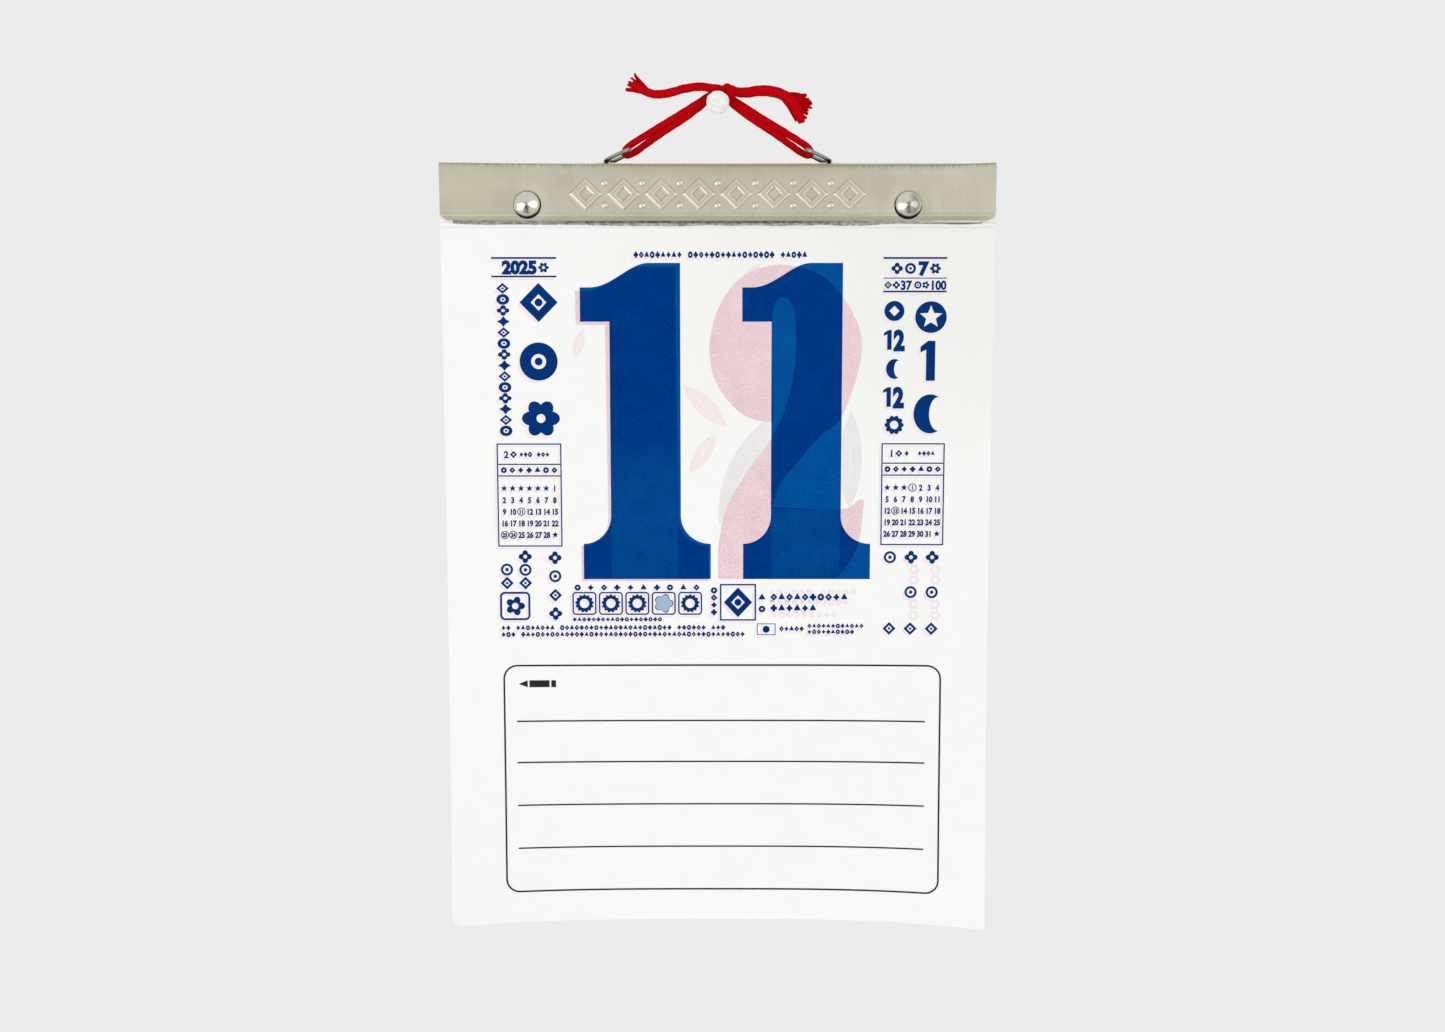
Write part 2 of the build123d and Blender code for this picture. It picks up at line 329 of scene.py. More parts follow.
def noise_on(tree, vector, stretch, scale, detail=3, roughness=0.5):
    """Noise whose grain is stretched along the axes."""
    placed = add(tree, "Mapping", {"Vector": vector, "Scale": stretch}).outputs[0]
    sockets = {"Vector": placed, "Scale": scale, "Detail": detail, "Roughness": roughness}
    return add(tree, "TexNoise", sockets).outputs["Fac"]


def between(tree, factor, low, high, start=0.0, end=1.0):
    """A colour that goes from low to high as a factor goes from start to end."""
    ramp = add(tree, "ValToRGB", {"Fac": factor})
    first, last = ramp.color_ramp.elements
    first.position, first.color = start, low
    last.position, last.color = end, high
    return ramp.outputs["Color"]


def remap(tree, value, low, high, start=0.0, end=1.0):
    """A value mapped from one range to another."""
    sockets = {"Value": value, 1: start, 2: end, 3: low, 4: high}
    return add(tree, "MapRange", sockets).outputs[0]


def bumped(tree, shader, height, depth, strength):
    """A bump on the shader's normal, with its depth in millimetres."""
    sockets = {"Height": height, "Distance": depth * mm, "Strength": strength}
    tree.links.new(add(tree, "Bump", sockets).outputs[0], shader.inputs["Normal"])


def grained_finish(name, grain, low, high, start, end, depth, strength, **sockets):
    """A finish whose colour and bump follow one grain of noise."""
    finish, tree, shader = new_finish(name, **sockets)
    run = noise_on(tree, object_places(tree), *grain)
    tree.links.new(between(tree, run, low, high, start, end), shader.inputs["Base Color"])
    bumped(tree, shader, run, depth, strength)
    return finish


def new_group(name, **noises):
    """A node group that puts out one noise for each name, all on one Vector."""
    group = bpy.data.node_groups.new(name, "ShaderNodeTree")
    group.interface.new_socket("Vector", in_out="INPUT", socket_type="NodeSocketVector")
    for output in noises:
        group.interface.new_socket(output, in_out="OUTPUT", socket_type="NodeSocketFloat")
    place = group.nodes.new("NodeGroupInput").outputs["Vector"]
    leave = group.nodes.new("NodeGroupOutput")
    for output, grain in noises.items():
        group.links.new(noise_on(group, place, *grain), leave.inputs[output])
    return group


def grain_of(tree, group):
    """A group, placed in a material and read on Object coordinates."""
    return add(tree, "Group", {"Vector": object_places(tree)}, node_tree=group).outputs


print("shader helpers ready")

# %% Masks, wear and painted light
def height_mask(tree, clear, full):
    """A mask that grows from one height to another, in millimetres."""
    height = add(tree, "SeparateXYZ", {0: object_places(tree)}).outputs["Z"]
    return remap(tree, height, 0, 1, clear * mm, full * mm)


def across_mask(tree, start, end, low=0.0, high=1.0):
    """A mask that goes from low to high across the object, in millimetres."""
    across = add(tree, "SeparateXYZ", {0: object_places(tree)}).outputs["X"]
    return remap(tree, across, low, high, start * mm, end * mm)


def written_mask(tree, name, start, end):
    """A mask from an attribute of the mesh."""
    written = add(tree, "Attribute", attribute_name=name).outputs["Fac"]
    return remap(tree, written, 0, 1, start, end)


def times(tree, first, second):
    """Two masks, or a mask and a number, multiplied."""
    return add(tree, "Math", {0: first, 1: second}, operation="MULTIPLY").outputs[0]


def worn_by(tree, mask, colour):
    """Mixes a colour over a finish's base colour, where a mask is."""
    base = tree.nodes["Principled BSDF"].inputs["Base Color"]
    sockets = {0: mask, 6: base.links[0].from_socket, 7: colour}
    tree.links.new(add(tree, "Mix", sockets, data_type="RGBA").outputs[2], base)


print("masks ready")

# %% [markdown]
# ## Paper
# The leaves are thin white newsprint-like paper. Its tone is slightly cloudy and
# its face has short fibres, and painted shade makes it a little darker and warmer
# towards its upper right.
# Leaves and inks both need that fibre, so it is one node group that puts out a cloud,
# a fibre and a height. The cut edges of the block have a finer grain, leaf by leaf.

# %% Paper finishes
paper_fibre = new_group(
    "paper_fibre",
    Cloud=((1, 1, 1), 140, 5, 0.6),
    Fibre=((1.6, 1, 1), 1400, 4, 0.7),
    Height=((1, 1, 1), 4000, 2),
)
leaf_paper, page, leaf_shader = new_finish("leaf_paper", Roughness=0.85, Specular_IOR_Level=0.1)
page_grain = grain_of(page, paper_fibre)
clouded = between(page, page_grain["Cloud"], srgb(248, 248, 246), srgb(250, 250, 248), 0.3, 0.62)
page.links.new(clouded, leaf_shader.inputs["Base Color"])
bumped(page, leaf_shader, page_grain["Height"], 0.02, 0.25)
# Painted shade, a little darker and warmer towards the upper right.
upper_right_shade = times(page, across_mask(page, -60, 60), height_mask(page, -122, -75))
worn_by(page, upper_right_shade, srgb(243, 244, 239))
edge_paper = grained_finish(
    "cut_leaf_edges", ((0.02, 1, 0.02), 9000, 2, 0.8),
    srgb(214, 211, 203), srgb(249, 248, 244), 0.3, 0.7,
    depth=0.04, strength=0.5, Roughness=0.8,
)
print("paper finishes ready")

# %% [markdown]
# ## Inks
# The big numerals and the small marks are offset print. The ink lies on the fibre,
# so its tone follows it. The number of the next leaf shows through as a mottled
# pink, and where it lies behind the blue, the blue looks deeper.

# %% Ink finishes
def ink_finish(name, full, thin, start=0.36, end=0.6):
    """Ink that is full on the fibres and thin between them."""
    finish, tree, shader = new_finish(name, Roughness=0.9, Specular_IOR_Level=0.0)
    grain = grain_of(tree, paper_fibre)
    sockets = {0: grain["Cloud"], 1: 0.3, 2: grain["Fibre"]}
    lean = add(tree, "Math", sockets, operation="MULTIPLY_ADD").outputs[0]
    inked = between(tree, remap(tree, lean, 0, 1, 0, 1.3), thin, full, start, end)
    tree.links.new(inked, shader.inputs["Base Color"])
    bumped(tree, shader, grain["Height"], 0.02, 0.2)
    return finish


numeral_blue = ink_finish("numeral_blue", srgb(1, 67, 142), srgb(7, 93, 165), end=0.62)
deep_blue = ink_finish("deep_blue", srgb(0, 45, 120), srgb(3, 67, 142), end=0.62)
mid_blue = ink_finish("mid_blue", srgb(1, 57, 129), srgb(5, 81, 151), end=0.62)
worn_by(mid_blue.node_tree, height_mask(mid_blue.node_tree, -122, -109), srgb(1, 56, 131))
small_blue = ink_finish("small_blue", srgb(3, 47, 112), srgb(11, 61, 128))
show_through = ink_finish("show_through_pink", srgb(226, 195, 202), srgb(243, 220, 223), 0.4)
faint_pink = ink_finish("faint_pink", srgb(244, 226, 228), srgb(248, 239, 239), 0.4)
faint_grey = ink_finish("faint_grey", srgb(232, 229, 229), srgb(241, 239, 239), 0.4)
line_grey = ink_finish("line_grey", srgb(34, 34, 36), srgb(58, 58, 60))
pale_blue = ink_finish("pale_blue", srgb(150, 178, 206), srgb(176, 198, 219))
next_day_red = ink_finish("next_day_red", srgb(205, 38, 46), srgb(214, 62, 66))
print("ink finishes ready")

# %% [markdown]
# ## Tinplate, nickel and steel
# The strip is satin tinplate with a warm tone. Rolling and folding leave fine
# upright streaks near its top bend and a faint unevenness. The same streak group
# serves the rings, the keepers and the rivets with other values.

# %% Metal finishes
rolled_metal = new_group(
    "rolled_metal",
    Streak=((1, 0.2, 0.05), 1300, 4, 0.65),
    Stain=((1, 1, 1), 90, 5, 0.6),
    Height=((1, 1, 0.6), 160, 3, 0.5),
)


def metal_finish(name, bright, dull, rough_low, rough_high, ripple):
    """Metal whose tone and gloss vary with streaks and stains."""
    finish, tree, shader = new_finish(name, Metallic=1.0)
    grain = grain_of(tree, rolled_metal)
    sockets = {0: grain["Streak"], 1: grain["Stain"]}
    tone = add(tree, "Math", sockets, operation="ADD").outputs[0]
    lean = remap(tree, tone, 0, 1, 0.6, 1.4)
    tree.links.new(between(tree, lean, dull, bright), shader.inputs["Base Color"])
    gloss = remap(tree, grain["Stain"], rough_low, rough_high, 0.3, 0.7)
    tree.links.new(gloss, shader.inputs["Roughness"])
    bumped(tree, shader, grain["Height"], ripple, 0.6)
    return finish


keeper_tin = metal_finish("keeper_tin", srgb(240, 239, 233), srgb(224, 222, 214), 0.2, 0.32, 0.02)
plain_steel = metal_finish("plain_steel", srgb(190, 191, 193), srgb(160, 161, 164), 0.25, 0.4, 0.02)
print("keeper tin and plain steel ready")

# %% [markdown]
# The other metals add marks of use and painted light to the same streaks. The strip
# is dull and finely scored where it was folded over, with painted shade along its top
# bend, over its upper band and on its lip. An attribute that is written on its mesh
# keeps the pressed edges apart: their foot gets painted shade, and their crest and the
# crease get a painted highlight. The rings get painted shade at the foot, and the
# rivets get tarnish and painted shade from their own attribute. A near-black finish
# serves the discs of painted shadow under the rivet heads.

# %% Worn metal finishes, with painted light and shade
tinplate = metal_finish("tinplate", srgb(204, 200, 182), srgb(193, 188, 169), 0.36, 0.48, 0.05)
tin = tinplate.node_tree
scores = noise_on(tin, object_places(tin), (1, 0.2, 0.06), 2700, 2, 0.6)
scores = remap(tin, scores, 0.0, 0.85, 0.42, 0.62)
scored = times(tin, written_mask(tin, "fold", -22.1, -20.5), scores)
worn_by(tin, scored, srgb(166, 160, 138))
# Painted shade: a darker line along the top bend, stronger towards the right.
fold_line_shade = written_mask(tin, "fold", -20.8, -20.2)
fold_line_shade = times(tin, fold_line_shade, across_mask(tin, -55, 40, 0.0, 0.12))
worn_by(tin, fold_line_shade, srgb(130, 124, 106))
# Painted shade over the upper band of the front, across its middle.
upper_band_shade = times(tin, across_mask(tin, -55, -20), across_mask(tin, 30, 60, 1, 0))
upper_band_shade = times(tin, upper_band_shade, written_mask(tin, "fold", -25.5, -21.5))
worn_by(tin, times(tin, upper_band_shade, 0.6), srgb(184, 176, 156))
worn_by(tin, across_mask(tin, -60, -88, 0, 0.5), srgb(186, 183, 163))
# Painted shade on the lip, which leans in below the crease.
worn_by(tin, times(tin, height_mask(tin, -36.0, -36.7), 0.6), srgb(174, 168, 147))
# Painted shade at the foot of each pressed edge, and a painted highlight on its crest and along the
# crease.
worn_by(tin, times(tin, written_mask(tin, "press", 0.5, 0.0), 0.8), srgb(120, 115, 98))
worn_by(tin, times(tin, written_mask(tin, "press", 0.5, 1.0), 0.85), srgb(252, 251, 242))

tin_gloss = tin.nodes["Principled BSDF"].inputs["Roughness"]
bend_dull = times(tin, written_mask(tin, "fold", -21.0, -20.4), 0.35)
dulled = add(tin, "Math", {0: tin_gloss.links[0].from_socket, 1: bend_dull}, operation="ADD")
tin.links.new(dulled.outputs[0], tin_gloss)

ring_steel = metal_finish("ring_steel", srgb(182, 182, 174), srgb(122, 122, 115), 0.2, 0.34, 0.02)
# Painted shade darkens each ring at its foot.
worn_by(ring_steel.node_tree, height_mask(ring_steel.node_tree, -18.0, -19.1), srgb(38, 38, 36))

nickel = metal_finish("nickel", srgb(224, 224, 209), srgb(204, 203, 188), 0.08, 0.17, 0.03)
# The attribute on each head mixes tarnish with painted shade.
tarnish_and_shade_mask = written_mask(nickel.node_tree, "tarnish_and_shade", 0.0, 1.0)
worn_by(nickel.node_tree, times(nickel.node_tree, tarnish_and_shade_mask, 0.96), srgb(20, 19, 18))

# A near-black finish for the discs of painted shadow under the rivet heads.
rivet_shadow_finish = grained_finish(
    "painted_rivet_shadow", ((1, 1, 1), 1500, 4, 0.7), srgb(8, 8, 7), srgb(34, 31, 27), 0.35, 0.7,
    depth=0.06, strength=0.6, Roughness=0.95, Specular_IOR_Level=0.05,
)
print("worn metal finishes ready")

# %% [markdown]
# ## Yarn, pin plastic and grey board
# The cord is soft red yarn. Its plies run along the strand, so the yarn reads the
# strand's own UV map: across it for the fibres, along it for uneven dye. The pin's
# head is crinkled matt plastic, and the board is speckled grey chipboard.

# %% Yarn, plastic, board and floor finishes
red_yarn, dyed, yarn_shader = new_finish("red_yarn", Roughness=0.95, Specular_IOR_Level=0.03)
yarn_map = add(dyed, "TexCoord").outputs["UV"]
fibres = noise_on(dyed, yarn_map, (0.35, 9, 1), 4, 4, 0.7)
dye = noise_on(dyed, yarn_map, (0.3, 0.5, 1), 2, 3)
red_tone = between(dyed, fibres, srgb(140, 0, 4), srgb(226, 7, 20), 0.3, 0.64)
dyed.links.new(red_tone, yarn_shader.inputs["Base Color"])
worn_by(dyed, remap(dyed, dye, 0, 0.4), srgb(196, 3, 12))
bumped(dyed, yarn_shader, fibres, 0.25, 0.8)

pin_plastic = grained_finish(
    "pin_plastic", ((1, 1, 1), 700, 4, 0.6), srgb(236, 236, 230), srgb(252, 252, 248), 0.3, 0.65,
    depth=0.15, strength=0.5, Roughness=0.62, Specular_IOR_Level=0.3,
)
chipboard = grained_finish(
    "grey_chipboard", ((1, 1, 1.4), 900, 5, 0.75),
    srgb(118, 114, 106), srgb(168, 163, 153), 0.32, 0.6,
    depth=0.06, strength=0.5, Roughness=0.85,
)
board = chipboard.node_tree
pulp = noise_on(board, object_places(board), (1, 1, 1), 60, 4, 0.6)
worn_by(board, remap(board, pulp, 0, 0.5), srgb(150, 146, 138))

floor_finish, ground, floor_shader = new_finish("pale_floor", Roughness=0.9)
dust = noise_on(ground, object_places(ground), (1, 1, 1), 6, 3)
floor_tone = between(ground, dust, srgb(232, 232, 232), srgb(238, 238, 238))
ground.links.new(floor_tone, floor_shader.inputs["Base Color"])
dress(floor, floor_finish)
print("yarn, plastic, board and floor finishes ready")

# %% [markdown]
# ## The cord
# One length of yarn is doubled: it runs from the knot to the left ring, back over
# the pin, to the right ring and back to the knot, where its two ends are tied.
# Its route is the CAD's route, with a point about six diameters from each ring and
# from the pin, because the stretches between them are pulled straight.
# Each route is a NURBS spline, and the yarn is a tube of plies round its line. The
# loop's run to the left ring is its run to the right one, mirrored.

# %% Routes as smooth lines
def route_line(route):
    """The points of the NURBS spline that a route's points control, in metres."""
    curve = bpy.data.curves.new("route", "CURVE")
    curve.dimensions = "3D"
    curve.resolution_u = 48
    spline = add_spline(curve, "NURBS", route)
    spline.order_u = 3
    spline.use_endpoint_u = True
    mesh = mesh_from(curve)
    line = [vertex.co.copy() for vertex in mesh.vertices]
    bpy.data.meshes.remove(mesh)
    return line


def line_length(line):
    """How long a line is, in metres."""
    return sum((after - before).length for before, after in zip(line, line[1:]))


right_run = [
    (9.2, -4.3, -1.45), (22.4, -6.2, -9.5), (31.6, -7.5, -15.2), (29.95, -7.5, -17.95),
    (21.25, -6.2, -11.35), (8.25, -4.1, -3.0), (1.9, -2.6, 2.75), (0.0, -2.6, 2.75),
]
left_run = [(-x, y, z) for x, y, z in right_run]
routes = {
    "cord_loop_left": [(2.5, -3.0, 4.6), (0.2, -2.9, 4.75)] + left_run,
    "cord_loop_right": right_run[::-1] + [(2.9, -3.2, 2.9)],
    "cord_tail_left": [
        (3.2, -5.0, 4.6), (-2.0, -5.85, 4.9), (-6.3, -6.0, 5.6), (-12.1, -6.2, 4.5),
        (-17.0, -6.4, 2.95), (-21.5, -6.6, 2.8), (-25.2, -6.8, 4.25), (-28.4, -6.9, 6.4),
    ],
    "cord_tail_right": [
        (3.2, -4.6, 4.3), (8.6, -5.4, 3.2), (12.4, -5.8, 3.95), (16.8, -6.1, 4.1),
        (20.9, -6.4, 3.1), (23.9, -6.6, 1.3), (26.2, -6.8, -1.4), (27.9, -7.0, -6.4),
    ],
}
lines = {name: route_line(route) for name, route in routes.items()}
for name, line in lines.items():
    print(name, "is", round(line_length(line) / mm, 1), "mm long")

# %% [markdown]
# A yarn is a tube whose section has one lobe for each ply, and the lobes turn
# along the strand. Loose hairs stand off it. Rings of points follow the line, each
# turned with the one before, so the tube doesn't twist where the line bends.

# %% Tubes and hairs
def carried_frames(line):
    """For each point of a line: its direction and two directions square to it."""
    frames = []
    side = None
    for number, point in enumerate(line):
        ahead = line[min(number + 1, len(line) - 1)] - line[max(number - 1, 0)]
        ahead.normalize()
        if side is None:
            side = ahead.orthogonal()
        side = (side - ahead * side.dot(ahead)).normalized()
        frames.append((point, ahead, side, ahead.cross(side)))
    return frames


def new_strand():
    """An empty bmesh and its UV map, which runs along a strand and round it."""
    shape = bmesh.new()
    return shape, shape.loops.layers.uv.new("along")


def tube_on(shape, uv, line, radius_at, sides):
    """Adds a closed tube to a bmesh: radius_at(along, angle) is its radius in metres."""
    rings = []
    along = 0.0
    before = line[0]
    for point, ahead, side, up in carried_frames(line):
        along += (point - before).length
        before = point
        ring = []
        for number in range(sides):
            angle = 2 * math.pi * number / sides
            outward = side * math.cos(angle) + up * math.sin(angle)
            ring.append(shape.verts.new(point + outward * radius_at(along, angle)))
        rings.append((along, ring))
    for (start, ring), (end, following) in zip(rings, rings[1:]):
        for number in range(sides):
            after = (number + 1) % sides
            corners = (ring[number], ring[after], following[after], following[number])
            face = shape.faces.new(corners)
            face.smooth = True
            places = ((start, number), (start, number + 1), (end, number + 1), (end, number))
            for loop, (length, place) in zip(face.loops, places):
                loop[uv].uv = (length / mm, place / sides)
    shape.faces.new(list(reversed(rings[0][1])))
    shape.faces.new(rings[-1][1])


def thinning(line, thickness, loss):
    """A radius in millimetres that loses a share of itself along a line."""
    length = line_length(line)
    return lambda along, angle: thickness * mm * (1 - loss * along / length)


print("tube helpers ready")

# %% Yarn
plies = 3
yarn_sides = 18
yarn_core = 0.96
ply_lobe = 0.06
yarn_swell = 0.08
swell_length = 2.2
hair_thickness = 0.05


def yarn(name, radius, turn, taper, hairs, seed):
    """A length of yarn on its line: lobed, twisted, uneven and a little hairy."""
    chance = random.Random(seed)
    shape, uv = new_strand()
    line = lines[name]
    length = line_length(line)

    def radius_at(along, angle):
        lobe = 1 + ply_lobe * abs(math.cos(plies / 2 * (angle + turn * along / mm)))
        place = Vector((along / mm / swell_length, math.cos(angle), math.sin(angle) + seed))
        swell = 1 + yarn_swell * noise.noise(place)
        return radius * mm * yarn_core * lobe * swell * taper(along / length)

    tube_on(shape, uv, line, radius_at, yarn_sides)
    frames = carried_frames(line)
    for hair in range(hairs):
        point, ahead, side, up = frames[chance.randrange(2, len(line) - 2)]
        angle = chance.uniform(0, 2 * math.pi)
        outward = side * math.cos(angle) + up * math.sin(angle)
        reach = chance.uniform(0.5, 1.5) * mm
        root = point + outward * (radius * mm) * 0.85
        tip = root + ahead * reach * chance.choice((-1, 1))
        tip += outward * chance.uniform(0.05, 0.3) * mm
        middle = (root + tip) / 2 + outward * chance.uniform(0.05, 0.2) * mm
        bowed = [root, root.lerp(middle, 0.5), middle, middle.lerp(tip, 0.5), tip]
        tube_on(shape, uv, bowed, thinning(bowed, hair_thickness, 0.6), 3)
    return from_bmesh(name, shape)


def even(along):
    """A yarn that keeps its thickness."""
    return 1.0


loop_left = yarn("cord_loop_left", 1.18, 0.5, even, 34, 1)
loop_right = yarn("cord_loop_right", 1.18, -0.5, even, 34, 2)
print("two halves of the loop made")

# %% [markdown]
# The knot is a few short wraps of the same yarn, pulled tight over each other.
# Past it the two ends are slack, so the yarn is thicker there, and both ends have
# come apart into loose strands.

# %% Knot and tails
wrap_thick = 1.15
knot_routes = [
    [
        (2.6, -2.6, 3.0), (2.3, -3.4, 5.2), (3.4, -6.2, 5.5),
        (4.5, -6.9, 3.6), (4.8, -5.0, 1.8), (4.4, -2.8, 2.2),
    ],
    [
        (5.6, -2.8, 4.1), (5.1, -4.2, 4.9), (4.2, -6.6, 4.6),
        (3.4, -6.6, 2.6), (3.4, -4.6, 1.2), (4.4, -2.8, 1.9),
    ],
]


def wrap_radius(along, angle):
    """The radius of a wrap of the knot, with a lobe for each ply."""
    return wrap_thick * mm * (1 + 0.08 * abs(math.cos(plies / 2 * (angle + 0.6 * along / mm))))


knot_shape, knot_uv = new_strand()
for route in knot_routes:
    tube_on(knot_shape, knot_uv, route_line(route), wrap_radius, 16)
knot = from_bmesh("cord_knot", knot_shape)


def left_taper(along):
    """Pinched at the knot, then even."""
    return 0.82 + 0.18 * min(1, along / 0.2)


def right_taper(along):
    """Pinched at the knot, and widest near the frayed end, where it stops."""
    return (0.86 + 0.14 * min(1, along / 0.35)) * (1 - 0.35 * max(0, (along - 0.85) / 0.15))


tail_left = yarn("cord_tail_left", 1.43, 0.55, left_taper, 24, 3)
tail_right = yarn("cord_tail_right", 1.8, -0.55, right_taper, 24, 4)
print("knot and tails made")

# %% Frayed ends
strands_in_tuft = 20
strand_points = 7
strand_thickness = 0.32


def scatter(chance, reach):
    """A random move of up to a reach along each axis."""
    return Vector([chance.uniform(-reach, reach) for axis in range(3)])


def frayed_end(name, roots, tufts, spread, seed):
    """Loose strands that fan out from the end of a tail, in a few tufts."""
    chance = random.Random(seed)
    shape, uv = new_strand()
    for tuft in tufts:
        for strand in range(strands_in_tuft):
            start = Vector(roots[0]).lerp(Vector(roots[1]), chance.uniform(0, 1))
            start += scatter(chance, 0.6)
            end = Vector(tuft) + scatter(chance, spread)
            end = start.lerp(end, chance.uniform(0.92, 1.0))
            middle = start.lerp(end, 0.5) + scatter(chance, 0.4)
            line = []
            for step in range(strand_points):
                share = step / (strand_points - 1)
                near, far = start.lerp(middle, share), middle.lerp(end, share)
                line.append(near.lerp(far, share) * mm)
            tube_on(shape, uv, line, thinning(line, strand_thickness, 0.45), 5)
    return from_bmesh(name, shape)


left_roots = ((-22.2, -6.7, 3.2), (-25.0, -6.8, 4.2))
left_tufts = [
    (-27.5, -6.9, 9.4), (-28.6, -7.0, 8.2), (-29.5, -6.9, 6.9), (-29.8, -7.0, 5.9),
    (-30.5, -6.9, 4.5), (-30.3, -7.0, 4.1), (-28.6, -6.9, 4.0),
]
right_roots = ((20.4, -6.5, 3.5), (24.2, -6.8, 0.1))
right_tufts = [
    (25.6, -6.9, 3.1), (27.1, -6.9, 3.0), (28.7, -6.9, 2.4), (29.4, -7.0, 2.6),
    (30.2, -7.0, 1.2), (30.9, -7.0, 0.4), (31.2, -7.1, -0.2), (30.7, -7.0, -0.9),
    (31.2, -7.0, -1.7), (30.0, -7.0, -2.5), (30.0, -7.0, -3.8), (29.4, -7.0, -5.2),
    (28.3, -7.0, -6.3), (27.3, -7.0, -6.6), (26.1, -7.0, -5.9), (25.5, -7.0, -4.9),
    (24.8, -7.0, -3.0), (28.5, -7.4, 0.5), (28.8, -7.4, -1.5), (28.0, -7.4, -3.5),
    (27.0, -7.4, 1.5), (26.7, -7.4, -4.4), (28.4, -7.4, -4.8),
]
fray_left = frayed_end("cord_fray_left", left_roots, left_tufts, 0.3, 5)
fray_right = frayed_end("cord_fray_right", right_roots, right_tufts, 0.35, 6)
print(len(left_tufts), "tufts at the left end and", len(right_tufts), "at the right one")

for piece, name in ((loop_left, "cord_loop_left"), (loop_right, "cord_loop_right")):
    finish_piece(piece, name, red_yarn)
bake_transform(loop_left)
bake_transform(loop_right)
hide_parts("cord_loop")
settle(knot, "cord_knot_wraps", red_yarn, "calendar", "red_cord", "cord_knot")
settle(tail_left, "cord_end_left", red_yarn, "calendar", "red_cord", "cord_tail_left")
settle(tail_right, "cord_end_right", red_yarn, "calendar", "red_cord", "cord_tail_right")
settle(fray_left, "cord_fray_left", red_yarn, "calendar", "red_cord")
settle(fray_right, "cord_fray_right", red_yarn, "calendar", "red_cord")


# %% [markdown]
# ## The pin
# The pin's head is a small white disc with a crinkled face. A sphere is pressed
# into a thick disc and its surface is then moved in and out by noise. Its steel
# shank is the CAD piece with a steel finish.

# %% Pin head and shank
pin_radius = 3.8
pin_middle = -9.2
pin_half = 1.6
crinkle_scale = 2.3
crinkle_mean = 0.6
bpy.ops.object.select_all(action="DESELECT")
bpy.ops.mesh.primitive_uv_sphere_add(segments=96, ring_count=64, radius=1)
pin_head = bpy.context.object
for vertex in pin_head.data.vertices:
    across, up, deep = vertex.co
    place = Vector((across * crinkle_scale, up * crinkle_scale, deep * crinkle_scale))
    crinkle = noise.turbulence(place, 4, True, amplitude_scale=0.6) - crinkle_mean
    reach = min(1, math.hypot(across, up))
    wide = pin_radius * 0.985 * min(1, reach ** 0.9 * 1.02) * (1 + 0.06 * crinkle)
    wide /= max(reach, 1e-6)
    depth = math.copysign(abs(deep) ** 0.55, deep) * pin_half * (1 + 0.2 * crinkle)
    vertex.co = (across * wide * mm, (pin_middle - depth) * mm, up * wide * mm)
closed_up(pin_head)
bpy.ops.object.shade_smooth()
settle(pin_head, "pin_head_crinkled", pin_plastic, "pin", "white_plastic", "pin_head")
dress(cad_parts["pin_shank"], plain_steel)

# %% [markdown]
# ## Rings and keepers
# Each ring is a bent steel wire, butted under its keeper. The wire is a curve with
# a round bevel, made a mesh when its line is right. Its near leg bows up a little and
# its far leg sags, as it was bent by hand. The keeper is the CAD piece.

# %% Rings
ring_foot = (-36.8, -9.5, -19.25)
ring_length = 8.45
ring_half = 5.5
ring_corner = 2.0
ring_wire = 1.3
ring_lean = math.radians(25.5)
ring_seam = 0.15
near_bow = 0.25
far_bow = -0.75


def ring_path():
    """The ring's wire in its own plane: along it, across it."""
    points = [(0, ring_seam / 2)]
    turns = ((0, ring_half, 180, 90), (ring_length, ring_half, 90, 0))
    turns += ((ring_length, -ring_half, 0, -90), (0, -ring_half, -90, -180))
    for along, across, start, end in turns:
        along -= math.copysign(ring_corner, along - 1)
        across -= math.copysign(ring_corner, across)
        for step in range(9):
            angle = math.radians(start + (end - start) * step / 8)
            move = (ring_corner * math.cos(angle), ring_corner * math.sin(angle))
            points.append((along + move[0], across + move[1]))
    points.append((0, -ring_seam / 2))
    return points


def ring(side):
    """One ring, leaning to the middle of the strip."""
    curve = bpy.data.curves.new("ring", "CURVE")
    curve.dimensions = "3D"
    curve.bevel_depth = ring_wire / 2 * mm
    curve.bevel_resolution = 5
    curve.use_fill_caps = True
    places = []
    for along, across in ring_path():
        x = ring_foot[0] + along * math.cos(ring_lean)
        up = ring_foot[2] + along * math.sin(ring_lean)
        bow = math.sin(math.pi * max(0, min(1, along / ring_length)))
        up += bow * (near_bow if across < 0 else far_bow)
        places.append((-side * x, ring_foot[1] + across, up))
    add_spline(curve, "POLY", places)
    piece = new_piece("ring", mesh_from(curve))
    closed_up(piece)
    smooth(piece, 40)
    return piece


settle(ring(-1), "ring_wire_left", ring_steel, "left_ring", "steel", "ring_left")
settle(ring(1), "ring_wire_right", ring_steel, "right_ring", "steel", "ring_right")
for side in ("left", "right"):
    dress(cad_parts["ring_keeper_" + side], keeper_tin)
    dress(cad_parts["rivet_washer_" + side], plain_steel)
dress(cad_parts["binding_staples"], plain_steel)

# %% [markdown]
# ## The tinplate strip
# One sheet is folded over the top of the block: back flange, top, front flange and a
# lip that leans in to the leaves. A grid is laid along that profile, and the pressed
# ornament, the dents at the rivets and the uneven hand of the fold are moves of its
# points. Solidify then gives the sheet its thickness.

